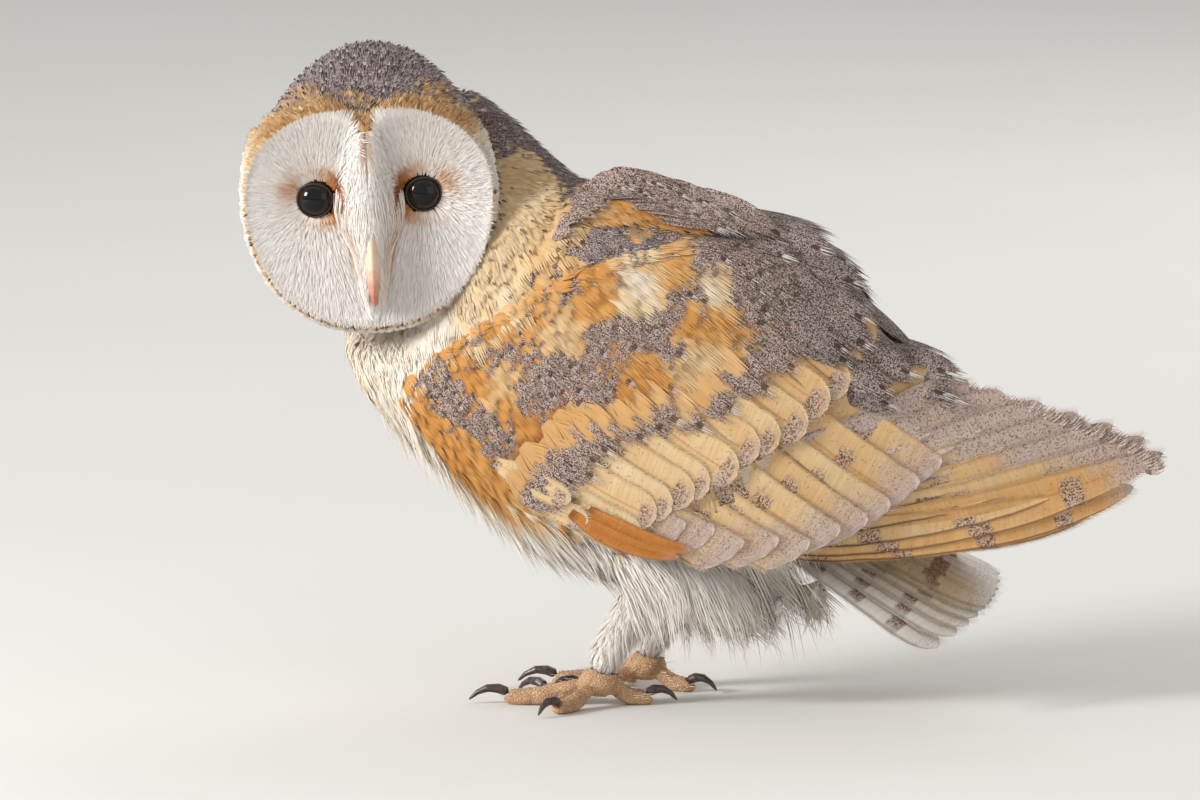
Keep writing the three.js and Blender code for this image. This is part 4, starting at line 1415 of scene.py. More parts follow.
@dataclass(frozen=True)
class Markings:
    """Where the body is white, warm or grey, for the skin and for the coat on it."""

    edge: Pairs = ((-40, 70), (0, 50), (18, 20), (34, 6), (57, -1), (110, -16), (180, -6))
    brow: Pairs = (
        (0, 33 * MM), (16 * MM, 39 * MM), (30 * MM, 43 * MM), (42 * MM, 36 * MM), (60 * MM, 5 * MM),
    )

    def body(self, points: Array, outward: Array, labels: Array) -> Array:
        """Tones of head, neck, trunk, wings and legs.

        Args:
            points: Places on the skin.
            outward: Its outward direction there; not used.
            labels: The parts of the flesh.

        Returns:
            Rows of warmth, share of grey and strength of the spot.
        """
        corner = spot("wing_left", 0, 0, 0)
        wander = waves(points, 9 * MM, 3)
        x = (points[:, 0] - corner[0]) / MM + wander * 1.5
        z = (points[:, 2] - corner[2]) / MM + waves(points, 9 * MM, 4) * 1.5
        tones = side_tones(x, z)
        front = smooth(14, 2, x - ramp(z, [(50, 0), (75, 14), (90, 8), (105, -20), (140, -60)]))
        below = smooth(3, -3, z - ramp(x, self.edge))
        pale = np.maximum(front, below)
        dots = 0.5 * (waves(points, 7 * MM, 6) > 0.7) * smooth(-40, -10, z)
        # The pale front and underside turn creamier towards the front of the breast: partly its own cream,
        # partly painted shade that darkens the front of the breast.
        white = np.stack([ramp(x, [(-20, 0.15), (10, 0.1), (40, 0.03)]), 0 * x, dots], axis=1)
        tones = tones + (white - tones) * pale[:, None]
        across, ahead, high = FACE.local(points)
        head = labels == Part.HEAD.value
        over = high - ramp(np.abs(across), self.brow)
        behind = smooth(6 * MM, -12 * MM, ahead + wander * 3 * MM)
        grey = np.maximum(smooth(-5 * MM, 4 * MM, over + wander * 2 * MM), behind)
        grey = np.maximum(grey, 0.42 * smooth(6 * MM, 26 * MM, high)) * smooth(-22 * MM, 0 * MM, high)
        warm = ramp(high, [(-45 * MM, 0.0), (-25 * MM, 0.3), (5 * MM, 0.4), (25 * MM, 0.58)])
        crown = np.stack([warm, grey * 0.97, np.full(len(x), 0.9) * smooth(-30 * MM, 0, high)], axis=1)
        tones = np.where(head[:, None], crown, tones)
        return np.where((labels >= Part.THIGH.value)[:, None], np.array([[0.02, 0.0, 0.0]]), tones)


MARKINGS = Markings()


# ---- wings


@dataclass(frozen=True)
class Row:
    """A row of overlapping wing feathers, from the wing's front or lower end to its upper end.

    Places are in millimetres from the low front corner of the wing; angles are in degrees below level.
    """

    tips: Pairs
    count: int
    angle: tuple[float, ...]
    length: tuple[float, float]
    half: tuple[float, float]
    layer: float
    bow: float = 0.0
    dive: float = 0.0  # share of the layer that is gone at the roots


@dataclass(frozen=True)
class Wing:
    """One folded wing, seen from its side."""

    side: Side
    pivot: tuple[float, float] = (74.0, 36.0)
    drop: float = 4.0  # degrees by which the far wing hangs lower
    hand: float = 116.0  # where the hand begins
    fold: float = 0.9  # length of the far wing's hand as a share of the near one's
    bulge: Pairs = ((54, 54), (94, 55.5), (134, 53), (169, 46), (199, 36), (229, 27), (259, 20), (290, 14))
    level: Pairs = ((54, 34), (134, 30), (174, 10), (224, -8), (264, 2), (290, 10))
    height: Pairs = ((54, 96), (134, 96), (184, 82), (224, 72), (290, 72))
    secondaries: Row = Row(
        ((112, -3), (122, -7), (133, -10), (145, -12), (157, -11), (167, -6.5), (177, -2), (187, 4),
         (196, 11), (204, 18), (211, 26), (216, 35), (217, 45)),
        13, (26, 33, 39, 37, 18), (66, 74), (9.6, 11.8), 1.6, 2.0, 1.7,
    )
    greater: Row = Row(
        ((98, -2), (104, 4), (112, 9), (120, 15), (131, 21), (142, 27), (154, 34), (163, 42), (172, 51),
         (179, 59), (185, 68)),
        13, (28, 42), (46, 42), (8.4, 8.8), 2.5, 1.5, 1.2,
    )
    median: Row = Row(
        ((70, 6), (77, 15), (83, 22), (92, 29), (103, 34), (116, 38), (131, 42), (142, 48), (156, 56),
         (169, 66), (178, 76)),
        19, (32, 36), (28, 32), (6.4, 7.4), 2.9, 1.0, 1.0,
    )
    carpal: Row = Row(((72, 6), (84, 1), (97, -4)), 4, (24, 22), (34, 30), (4.6, 4.4), 2.6, 1.0, 1.3)
    alula: Row = Row(((112, -11), (117, -8)), 2, (22, 21), (45, 42), (3.7, 3.9), 3.3, 3.0)
    buff: tuple[Row, ...] = (
        Row(((82, 113), (92, 114), (104, 114), (118, 110)), 12, (8, 16), (13, 18), (3, 3), 1.6, -1.0, 2.0),
        Row(((78, 114), (88, 118), (100, 118), (112, 114), (122, 110)),
            16, (0, 16), (12, 18), (3, 3), 2.6, -1.0, 2.0),
    )
    crease: tuple[Row, ...] = (
        Row(((72, 112), (79, 120), (88, 125), (99, 125), (112, 120), (124, 114), (138, 111), (152, 108)),
            26, (-20, 18), (10, 40), (2.6, 6.5), 6.0, -2.0, 1.3),
        Row(((80, 122), (90, 126), (104, 125.5), (118, 121), (132, 116.5), (148, 112)),
            20, (-8, 16), (14, 38), (3.4, 6.5), 5.5, -2.0, 1.3),
    )

    def at(self, x: Array, z: Array, layer: Array) -> Array:
        """Places on the wing from its side view.

        Args:
            x: Millimetres behind the wing's front.
            z: Millimetres above its lowest flesh.
            layer: Millimetres off the lie of the side.

        Returns:
            Places in metres.
        """
        share = np.minimum(np.abs(z - ramp(x, self.level)) / ramp(x, self.height), 0.965)
        front = 1 - 0.35 * smooth(54, 0, x) ** 2
        depth = ramp(x, self.bulge) * np.sqrt(1 - share**2) * front + layer
        folded = x - np.maximum(x - self.hand, 0) * ((1 - self.fold) if self.side is Side.RIGHT else 0)
        px, pz = folded - self.pivot[0], z - self.pivot[1]
        corner, hang = spot("wing_left", 0, 0, 0), self.hang
        return np.stack([
            corner[0] + (self.pivot[0] + px * math.cos(hang) + pz * math.sin(hang)) * MM,
            self.side.value * np.maximum(depth, 2) * MM,
            corner[2] + (self.pivot[1] + pz * math.cos(hang) - px * math.sin(hang)) * MM,
        ], axis=-1)

    @property
    def hang(self) -> float:
        """How far it is turned down about its pivot."""
        return math.radians(self.drop) if self.side is Side.RIGHT else 0.0

    def outward(self, x: Array, z: Array) -> Array:
        """Outward directions on the wing."""
        step = 1.5
        along_wing = self.at(x + step, z, 0) - self.at(x - step, z, 0)
        up_wing = self.at(x, z + step, 0) - self.at(x, z - step, 0)
        return unit(np.cross(along_wing, up_wing) * self.side.value)

    def plane(self, points: Array) -> tuple[Array, Array]:
        """Side view of places, in millimetres from the wing's low front corner."""
        corner, hang = spot("wing_left", 0, 0, 0), self.hang
        x = (points[:, 0] - corner[0]) / MM - self.pivot[0]
        z = (points[:, 2] - corner[2]) / MM - self.pivot[1]
        back, up = x * math.cos(hang) - z * math.sin(hang), x * math.sin(hang) + z * math.cos(hang)
        return back + self.pivot[0], up + self.pivot[1]

    def lay(self, row: Row, tones: Array, rng: Rng, uneven: float = 0.6) -> Lay:
        """Lays one row of feathers.

        Args:
            row: The row.
            tones: One row of tones for each feather.
            rng: Source of their small differences.
            uneven: How unevenly they end, in millimetres.

        Returns:
            The lay.
        """
        t = np.linspace(0, 1, row.count)
        tips = along(row.tips, t) + rng.normal(0, uneven, (row.count, 2))
        angle = np.interp(t, np.linspace(0, 1, len(row.angle)), row.angle)
        angle = np.radians(angle + rng.normal(0, 0.6, row.count))
        length, half = (ends[0] + (ends[1] - ends[0]) * t for ends in (row.length, row.half))
        way = np.stack([np.cos(angle), -np.sin(angle)], axis=1)
        down = np.stack([-np.sin(angle), -np.cos(angle)], axis=1)
        layer = row.layer + 0.05 * np.arange(row.count)

        def at(share: float) -> tuple[Array, Array]:
            """Places and outward directions at a share along the row's feathers."""
            bow = down * (row.bow * 4 * share * (1 - share))
            x, z = (tips - way * (length * (1 - share))[:, None] + bow).T
            return self.at(x, z, layer * (1 - row.dive * (1 - share)) - 1.2 * (1 - share)), self.outward(x, z)

        return Lay.of(at, half * MM, tones, rng)


@dataclass(frozen=True)
class Hand:
    """Primaries of one wing: each from its quill through a middle to its tip, lowest first."""

    roots: Pairs = ((118, -3), (120, 2), (123, 8), (126, 14))
    middles: Pairs = ((205, -3), (205, 4), (202, 15), (198, 27), (190, 38))
    tips: Pairs = ((282, 14), (293, 27), (286, 33), (274, 38), (261, 42), (247, 46), (232, 50), (218, 54))
    count: int = 8
    half: float = 8.6
    layer: float = -1.6
    step: float = 0.42

    def lay(self, wing: Wing, tones: Array, rng: Rng) -> Lay:
        """Lays them on a wing."""
        layer = self.layer + self.step * np.arange(self.count)
        guides = dict(zip(SHARES, (self.roots, self.middles, self.tips)))

        def at(share: float) -> tuple[Array, Array]:
            """Places and outward directions at one of the shares that have a guide."""
            x, z = along(guides[share], np.linspace(0, 1, self.count)).T
            return wing.at(x, z, layer), wing.outward(x, z)

        return Lay.of(at, np.linspace(1, 1.1, self.count) * self.half * MM, tones, rng)


@dataclass(frozen=True)
class WingCoat:
    """All feathers of one wing."""

    wing: Wing
    hand: Hand = Hand()
    lesser_spacing: float = 3.8 * MM
    flight: Quill = Quill(
        rows=26, columns=10, tilt=-0.04, camber=0.03, tip=0.07, root=0.5, fringe=1.1 * MM, slant=0.5,
        thickness=0.36 * MM, shaft=0.3 * MM,
    )
    covert: Quill = Quill(
        rows=16, columns=10, tilt=-0.03, camber=0.03, tip=0.22, root=0.5, lift=0.1 * MM, shaft=0.2 * MM,
        thickness=0.28 * MM,
    )
    hand_cut: Quill = Quill(
        rows=30, columns=10, tilt=-0.06, camber=0.08, tip=0.34, point=1, root=0.55, fringe=0.9 * MM,
        thickness=0.6 * MM,
    )
    veil: Row = Row(
        ((221, 52.5), (232, 50.5), (244, 47.5), (256, 44), (268, 40), (280, 35.5), (290, 29.5), (295, 24)),
        150, (-38, -22), (13, 9), (1.6, 1.5), 2.2, 1.0, 1.4,
    )
    lesser: Tuft = Tuft(strips=9, steps=4, lift=1.3 * MM, camber=0.15, ragged=0.24, split=0.45, blunt=0.36)
    soft: Tuft = Tuft(
        strips=15, steps=5, lift=0.9 * MM, camber=0.1, ragged=0.13, split=0.6, blunt=0.34, sunk=1 * MM,
        root=0.3,
    )
    comb: Tuft = Tuft(
        strips=3, steps=4, lift=0.3 * MM, camber=0.1, ragged=0.2, split=0.35, blunt=0.1, sunk=0.5 * MM
    )

    @staticmethod
    def _barred_tones(
        count: int, warm: tuple[float, float], tip: float, length: tuple[float, float]
    ) -> Array:
        """Tones of a row of barred feathers."""
        t = np.linspace(0, 1, count)
        blend = warm[0] + (warm[1] - warm[0]) * t + 0.04 * np.sin(2.4 * np.arange(count))
        return np.stack([blend, np.full(count, tip), (length[0] + (length[1] - length[0]) * t) * MM], axis=1)

    def make(self, skin: Skin, rng: Rng) -> None:
        """Builds and dresses the wing's pieces.

        Args:
            skin: The skin that the small coverts lie on.
            rng: Source of their small differences.
        """
        wing, word = self.wing, self.wing.side.word
        row = wing.secondaries
        lay = wing.lay(row, self._barred_tones(row.count, (0.46, 0.54), 0.013, row.length), rng, 1.1)
        cut = self.flight.cut(lay, rng)
        finish = FlightFinish(f"flight_{word}", bar_pitch=0.027, bar_start=0.028, scatter=0.22)
        show(f"secondary_feathers_{word}", cut, finish, [f"secondaries_{word}"])
        tones = self._barred_tones(self.hand.count, (0.66, 0.34), 0.012, (165, 95))
        tones[:, 1] = np.linspace(0.01, 0.085, self.hand.count)
        cut = self.hand_cut.cut(self.hand.lay(wing, tones, rng), rng)
        finish = FlightFinish(f"hand_{word}", bar_pitch=0.031, bar_start=0.03, bar_width=0.16, edge_line=0.85)
        show(f"primary_feathers_{word}", cut, finish, [f"primaries_{word}"])
        tones = np.tile([[0.3, 1.0, 0.0]], (self.veil.count, 1))
        cut = self.comb.cut(Lay.joined([wing.lay(self.veil, tones, rng, 0.5)]), rng)
        grey = {"pale": tone(206, 190, 180), "dark": tone(160, 140, 130)}
        finish = PlumageFinish(f"fringe_{word}", grain=1300.0, **grey)
        show(f"primary_fringe_{word}", cut, finish)
        self._coverts(word, rng)
        self._small(skin, word, rng)

    @staticmethod
    def _row_tones(row: Row, grey: tuple[float, float], warmth: float) -> Array:
        """Tones of a row of soft feathers, from the side marks a little above their tips.

        Args:
            row: The row.
            grey: Least and most share of grey.
            warmth: Multiplies the warmth.

        Returns:
            One row of tones for each feather.
        """
        flat = along(row.tips, np.linspace(0, 1, row.count))
        tones = side_tones(flat[:, 0] - 5, flat[:, 1] + 4)
        tones[:, 0] *= warmth
        tones[:, 1] = grey[0] + (grey[1] - grey[0]) * tones[:, 1]
        tones[:, 2] = 0.9
        return tones

    def _coverts(self, word: str, rng: Rng) -> None:
        """Greater and median coverts, the bastard wing, the fold and the lobes behind the shoulder."""
        wing = self.wing
        lays = []
        for row, warm in ((wing.greater, (0.42, 0.56)), (wing.carpal, (0.45, 0.45))):
            lays.append(wing.lay(row, self._barred_tones(row.count, warm, 0.003, row.length), rng, 1.3))
        cut = self.covert.cut(Lay.joined(lays), rng)
        finish = FlightFinish(
            f"covert_{word}", bar_start=0.004, bar_pitch=0.03, bar_width=0.16, edge_line=0.3, scatter=0.12
        )
        show(f"greater_coverts_{word}", cut, finish)
        tones = self._barred_tones(wing.alula.count, (0.92, 0.88), 0.003, wing.alula.length)
        quill = replace(self.covert, tip=0.5, point=1, fringe=0.4 * MM)
        cut = quill.cut(wing.lay(wing.alula, tones, rng), rng)
        show(f"alula_{word}", cut, FlightFinish(f"alula_{word}", bars=0.0, edge_line=0.5))
        lays = [wing.lay(wing.median, self._row_tones(wing.median, (0.42, 0.8), 0.9), rng, 1.2)]
        if wing.side is Side.LEFT:
            for row in wing.buff:
                buff = np.tile([[0.7, 0.0, 0.0]], (row.count, 1))
                buff[:, 0] += rng.uniform(-0.16, 0.16, row.count)
                lays.append(wing.lay(row, buff, rng, 0.8))
            for row in wing.crease:
                lays.append(wing.lay(row, self._row_tones(row, (1.15, 1.2), 0.9), rng, 0.8))
        cut = self.soft.cut(Lay.joined(lays), rng)
        show(f"median_coverts_{word}", cut, PlumageFinish(f"median_{word}", dot_size=0.75))

    def _small(self, skin: Skin, word: str, rng: Rng) -> None:
        """Small coverts over the arm, from the bend of the wing to the shoulder."""
        wing = self.wing
        median = np.array(wing.median.tips)

        def keep(points: Array, outward: Array, labels: Array) -> Array:
            """Keeps the flank above the median coverts."""
            x, z = wing.plane(points)
            floor = np.interp(x, median[:, 0] - 13, median[:, 1] + 3, left=-10)
            near = (points[:, 1] * wing.side.value > 6 * MM) & (labels == Part.WING.value)
            return near & (z > floor - 2)

        roots = skin.scatter(self.lesser_spacing, keep, 31 + wing.side.value)
        x, z = wing.plane(roots.points)
        wander = waves(roots.points, 6 * MM, 8) * 1.6
        tones = side_tones(x + 5 + wander, z - 4 + wander)
        tones[:, 1] = np.clip(tones[:, 1] + rng.normal(0, 0.05, len(x)), 0, 1)
        tones[:, 0] = np.clip(tones[:, 0] + rng.normal(0, 0.03, len(x)), 0, 1)
        edge = smooth(9, 3, z - ramp(x, ((0, 30), (12, 16), (30, 4), (58, -1), (80, -3)))) * (x < 80)
        tones = tones * (1 - edge[:, None] * np.array([0.85, 1.0, 1.0]))
        tones[:, 2] *= rng.uniform(size=len(x)) < 0.42
        slope = np.radians(34 + x * 0.03)
        ways = np.stack([np.cos(slope), 0 * x, -np.sin(slope)], axis=1)
        size = ramp(x + (115 - z) * 0.2, [(0, 7.5), (60, 10.5), (100, 14), (160, 18)]) * MM
        lengths = size * rng.uniform(0.85, 1.15, len(x))
        cut = self.lesser.cut(skin.lay(roots, ways, lengths, lengths * 0.3, tones, rng, rise=0.9 * MM), rng)
        show(f"lesser_coverts_{word}", cut, PlumageFinish(f"lesser_{word}", dot_size=1.5))


@dataclass(frozen=True)
class Tier:
    """A row of long shoulder feathers: back, out and up in millimetres from the wing's front."""

    side: Point  # the outermost tips
    middle: tuple[float, float]  # back and up of the tips on the middle of the back
    count: int = 13
    length: float = 44.0
    half: float = 7.0
    fall: float = 18.0  # degrees below level


@dataclass(frozen=True)
class Cape:
    """Grey shoulder and back feathers in tiers, whose ends stand out one above another."""

    tiers: tuple[Tier, ...] = (
        Tier((224, 15, 22), (222, 28), 7, 42, 7.5, 30), Tier((222, 20, 34), (219, 38), 9, 44, 7.5, 24),
        Tier((221, 27, 46), (212, 50), 11, 46), Tier((219, 23, 55), (212, 57), 11, 46, 7.5, 10),
        Tier((196, 36, 47), (190, 62), 13, 40, 6.5, 26), Tier((178, 38, 60), (172, 82), 15, 38, 6.5, 28),
        Tier((203, 30, 54), (197, 60), 13, 44), Tier((186, 31, 66), (184, 71), 13, 44, 7, 22),
        Tier((184, 30, 76), (182, 81), 13, 42, 7, 22), Tier((168, 31, 84), (164, 94), 13, 40),
        Tier((182, 26, 88), (176, 94), 13, 44, 7.5, 20), Tier((154, 27, 101), (146, 111), 13, 40, 7, 12),
        Tier((170, 22, 103), (164, 108), 11, 46, 7.5, 10),
    )
    far: tuple[float, float] = (-8.0, -6.0)  # back and up of the far side's tips from the near side's
    cut: Tuft = Tuft(
        strips=13, steps=5, lift=1.4 * MM, camber=0.25, ragged=0.1, split=0.8, blunt=0.3, sunk=1.5 * MM,
        root=0.35,
    )

    def make(self, skin: Skin, rng: Rng) -> None:
        """Builds and dresses the cape.

        Args:
            skin: The skin that its feathers are rooted in.
            rng: Source of their small differences.
        """
        lays = [self._lay(tier, skin, rng) for tier in self.tiers]
        grey = {"pale": tone(178, 161, 152), "dark": tone(72, 56, 52)}
        finish = PlumageFinish("shoulders", vary=0.3, dot_size=0.6, **grey)
        show("shoulder_feathers", self.cut.cut(Lay.joined(lays), rng), finish)

    def _lay(self, tier: Tier, skin: Skin, rng: Rng) -> Lay:
        """Lays one tier from one side to the other."""
        s = np.linspace(-1, 1, tier.count) + rng.normal(0, 0.03, tier.count)
        turn = s * math.pi / 2
        beyond = np.maximum(s, 0)
        tip = np.stack([
            tier.middle[0] + (tier.side[0] - tier.middle[0]) * s**2 + self.far[0] * beyond,
            tier.side[1] * np.sin(turn),
            tier.middle[1] + (tier.side[2] - tier.middle[1]) * (1 - np.cos(turn)) + self.far[1] * beyond,
        ], axis=1) * MM
        tip[:, ::2] += spot("wing_left", 0, 0, 0)[::2]
        tip += rng.normal(0, 0.8 * MM, tip.shape)
        fall = np.radians(tier.fall + rng.normal(0, 1.5, tier.count))
        way = np.stack([np.cos(fall), 0.12 * s, -np.sin(fall)], axis=1)
        root = tip - way * tier.length * MM
        held = skin.nearest(root)
        out = unit(np.stack([0.15 + 0 * s, np.sin(turn * 0.8), np.cos(turn * 0.8)], axis=1))
        root = held.points + held.outward * 0.5 * MM
        middle = (root + tip) / 2 + out * 2.0 * MM
        tones = np.tile([[0.6, 1.2, 0.9]], (tier.count, 1))
        tones[:, 1] -= rng.uniform(0, 0.5, tier.count) * (rng.uniform(size=tier.count) < 0.3)
        guides = dict(zip(SHARES, ((root, held.outward), (middle, out), (tip, out))))
        return Lay.of(guides.get, np.full(tier.count, tier.half * MM), tones, rng)


# ---- face, head and body coats


@dataclass(frozen=True)
class Horn:
    """One half of the bill: rings round a spine of across, ahead and up, in millimetres."""

    node: str
    spine: tuple[Point, ...]
    half: tuple[float, ...]
    deep: tuple[float, ...]
    keel: float = 0.0
    nostril: float = 0.0
    rows: int = 26
    sides: int = 24

    def body(self) -> tuple[Array, list[tuple[int, ...]]]:
        """Its vertices and faces."""
        share = np.linspace(0, 1, self.rows)
        middle = along(self.spine, share) * MM
        half, deep = (along(np.array(sizes)[:, None], share)[:, 0] * MM for sizes in (self.half, self.deep))
        way = unit(np.gradient(middle, axis=0))
        front = unit(np.cross(way, [1.0, 0.0, 0.0]) * -1)
        front = front * np.sign(front[:, 1:2])
        turn = np.arange(self.sides) * math.tau / self.sides
        keel = 1 + self.keel * np.maximum(np.sin(turn), 0) ** 6
        side = np.cos(turn) * (1 - self.keel * 0.6 * np.maximum(np.sin(turn), 0))
        pit = bell(share, 0.2, 0.09)[:, None] * bell(np.abs(side), 0.75, 0.16)[None]
        pit = pit * (np.sin(turn) > 0)[None] * self.nostril
        ring = np.zeros((self.rows, self.sides, 3))
        ring[..., 0] = side[None] * half[:, None] * (1 - pit)
        ring += front[:, None] * (np.sin(turn) * keel * deep[:, None] * (1 - pit))[..., None]
        local = ring + middle[:, None]
        points = FACE.world(local[..., 0], local[..., 1], local[..., 2]).reshape(-1, 3)
        faces = grid_faces(self.rows, self.sides)
        faces.append(tuple(reversed(range(self.sides))))
        faces.append(tuple(range((self.rows - 1) * self.sides, self.rows * self.sides)))
        return points, faces


@dataclass(frozen=True)
class FaceCoat:
    """Feathers of the facial disc, its rim, the eyelids, eyes and bill."""

    eye_radius: float = 6.7 * MM
    hairs: int = 33000
    crest_hairs: int = 1400  # how many of them stand on the crest of the wedge
    hair_cut: Tuft = Tuft(
        strips=1, steps=3, lift=1.5 * MM, sunk=0.2 * MM, camber=0, root=0.7, split=0.3, ragged=0.2
    )
    rim_cut: Tuft = Tuft(strips=4, steps=3, lift=0.5 * MM, sunk=0.3 * MM, camber=0.3, ragged=0.3)
    rim_count: int = 290
    rim_rows: int = 6
    bristles: int = 2200
    bill_half: float = 2.5 * MM
    upper_bill: Horn = Horn(
        "bill_upper",
        ((0, 31, -13), (0, 35.5, -20), (0, 37.6, -28), (0, 37.4, -34), (0, 35.6, -39), (0, 34.2, -41.3)),
        (3.3, 3.1, 2.7, 2.1, 1.2, 0.3), (3.0, 3.6, 3.4, 2.7, 1.5, 0.4), 0.22, 0.3,
    )
    lower_bill: Horn = Horn(
        "bill_lower", ((0, 25, -24), (0, 29.5, -30), (0, 32.2, -35), (0, 33, -38)), (2.2, 2.3, 1.7, 0.5),
        (1.6, 1.8, 1.4, 0.5),
    )

    def make(self, rng: Rng) -> None:
        """Builds and dresses the face."""
        self._disc(rng)
        self._rim(rng)
        for side, centre in zip(Side, FACE.eyes):
            self._eye(side, centre)
        self._bill()

    def _way(self, across: Array, high: Array) -> tuple[Array, Array]:
        """The lie of the disc: out from each eye, and up the wedge between them."""
        side = np.sign(across) + (across == 0)
        dx, dz = across - side * FACE.eye_side, high
        spread = np.hypot(dx, dz) + 1e-6
        radial = np.stack([dx / spread, dz / spread], axis=1)
        wedge = FACE.wedge_share(across, high)
        crest = ramp(high / MM, ((-30, 254), (-8, 262), (4, 268), (16, 278), (30, 296)))
        turn = np.degrees(np.arctan2(high, dx * side)) % 360
        turn = np.radians(turn + (crest - turn) * smooth(0.0, 0.45, wedge))
        bent = np.stack([side * np.cos(turn), np.sin(turn)], axis=1)
        way = np.where((wedge > 0)[:, None], bent, radial)
        straight = (smooth(9 * MM, 0, np.abs(across)) * smooth(-36 * MM, -44 * MM, high))[:, None]
        way = unit(way * (1 - straight) + np.array([[0.0, -1.0]]) * straight)
        return way[:, 0], way[:, 1]

    def _disc(self, rng: Rng) -> None:
        """Fine white feathers over the disc, rusty in front of the eyes and at the foot of the wedge."""
        across = rng.uniform(-1.0, 1.0, self.hairs * 2) * FACE.half_width
        high = rng.uniform(-FACE.drop, FACE.rise, self.hairs * 2)
        across[: self.crest_hairs] = rng.normal(0, 1.6 * MM, self.crest_hairs)
        high[: self.crest_hairs] = rng.uniform(-24 * MM, 26 * MM, self.crest_hairs)
        from_eye = np.hypot(np.abs(across) - FACE.eye_side, high)
        kept = (FACE.share(across, high) < 0.955) & (from_eye > self.eye_radius + 0.2 * MM)
        across, high, from_eye = (values[kept][: self.hairs] for values in (across, high, from_eye))
        wx, wz = self._way(across, high)
        length = ramp(from_eye, ((7 * MM, 4 * MM), (12 * MM, 7 * MM), (25 * MM, 10 * MM)))
        length = length * rng.uniform(0.75, 1.2, len(across))
        length = np.where(FACE.wedge_share(across, high) > 0.05, length * 0.7, length)
        length = np.minimum(length, np.maximum((1.0 - FACE.share(across, high)) * 45 * MM, 2.6 * MM))
        turn = np.degrees(np.arctan2(high, np.abs(across) - FACE.eye_side))
        outer = bell(turn, 24, 30) * smooth(13 * MM, 7 * MM, from_eye) * 0.62
        inner = bell(np.abs(turn), 170, 70) * smooth(10.4 * MM, 7.4 * MM, from_eye) * 1.1
        rust = np.maximum(outer, inner) + rng.normal(0, 0.06, len(across)) * (from_eye < 13 * MM)
        foot = smooth(2.6 * MM, 0.6 * MM, np.abs(np.abs(across) - ramp(high, FACE.wedge) - 0.5 * MM))
        rust = np.maximum(rust * 0.85, foot * smooth(-34 * MM, -8 * MM, high) * (high < 2 * MM) * 0.6)
        parting = smooth(1.2 * MM, 0.2 * MM, np.abs(across)) * smooth(10 * MM, 26 * MM, high)
        rust = np.maximum(rust, parting * 0.5)
        warm = np.clip(rust + rng.normal(0, 0.02, len(across)), 0, 0.95)
        tones = np.stack([warm, 0 * warm, 0 * warm], axis=1)
        widths = rng.uniform(0.22, 0.4, len(across)) * MM

        def at(share: float) -> tuple[Array, Array]:
            """Places and outward directions at a share along the feathers."""
            return FACE.surface(across + wx * length * share, high + wz * length * share)

        lay = Lay.of(at, widths, tones, rng, FACE.unwrap(across, high) * 0.98 + 0.01)
        cut = Sheets.joined([self.hair_cut.cut(lay, rng), self._bristles(rng)])
        finish = PlumageFinish("disc", streaks=0.1, stops=RUSTY_STOPS, vary=0.13)
        show("disc_feathers", cut, finish)

    def _bristles(self, rng: Rng) -> Sheets:
        """Long bristles that close over both sides of the bill."""
        count = self.bristles
        level = rng.triangular(-33 * MM, -20 * MM, 6 * MM, count)
        hand = rng.choice([-1.0, 1.0], count)
        start = hand * ramp(level, FACE.wedge) * rng.uniform(0.05, 0.98, count)
        drop = rng.uniform(8, 13, count) * MM

        def at(share: float) -> tuple[Array, Array]:
            """Places and outward directions at a share along the bristles."""
            high = level - drop * share
            slim = ramp(high, ((-44 * MM, 0.4), (-36 * MM, 0.8), (-28 * MM, 1.1))) * self.bill_half
            aim = hand * np.maximum(slim, np.abs(start) * 0.3)
            reach = start + (aim - start) * share * smooth(-8 * MM, -26 * MM, high)
            place, out = FACE.surface(reach, high)
            beside = smooth(-20 * MM, -30 * MM, high) * smooth(7 * MM, 2 * MM, np.abs(reach))
            beside = beside * smooth(-46 * MM, -36 * MM, high)
            height = (0.4 + 0.5 * math.sin(share * 2.6)) * MM
            return place + out * height + FACE.axes[1] * (beside * 2.6 * MM)[:, None], out

        tones = np.tile([[0.04, 0.0, 0.0]], (count, 1))
        tones[:, 0] += rng.uniform(0, 0.22, count) * smooth(0.2, 0.9, np.abs(start) / ramp(level, FACE.wedge))
        lay = Lay.of(at, rng.uniform(0.16, 0.3, count) * MM, tones, rng, FACE.unwrap(start, level))
        return self.hair_cut.cut(lay, rng)

    def _rim(self, rng: Rng) -> None:
        """Rows of stiff small feathers round the disc."""
        ahead_only = np.array([0.0, 1.0, 0.0])
        sheets = []
        for row in range(self.rim_rows):
            angle = (np.arange(self.rim_count) + 0.5 * (row % 2)) * math.tau / self.rim_count
            angle = angle + rng.normal(0, 0.3, len(angle)) * math.tau / self.rim_count
            side, high = FACE.edge(angle)
            top = smooth(0.15, 0.75, np.sin(angle))
            share = 0.955 + 0.012 * row * (1 - top) + 0.022 * row * top
            ahead = FACE.depth(side * share, high * share) + (0.5 - 0.5 * row) * MM
            start = FACE.world(side * share, ahead, high * share)
            radial = unit(np.stack([side, np.zeros_like(side), high], axis=1))
            length = (3.2 + 0.35 * row + 1.6 * top) * MM * rng.uniform(0.7, 1.3, len(angle))
            back = ((0.5 + 0.6 * row) * (1 - top) + (0.35 + 0.12 * row) * top)[:, None] * ahead_only
            end = start + (unit(radial - back) * length[:, None]) @ FACE.axes
            middle = start + (unit(radial - back * 0.6) * length[:, None] * 0.5) @ FACE.axes
            out = unit(radial * 0.6 + ahead_only) @ FACE.axes
            inner = max(0.0, 1 - abs(row - 1.2) / 1.6)
            low = smooth(0.1, -0.3, np.sin(angle))
            warm = ramp(np.sin(angle), ((-1, 0.72), (-0.3, 0.62), (0.2, 0.45), (0.7, 0.62), (1, 0.66)))
            warm = warm * (top + (1 - top) * inner) + 0.12 * inner
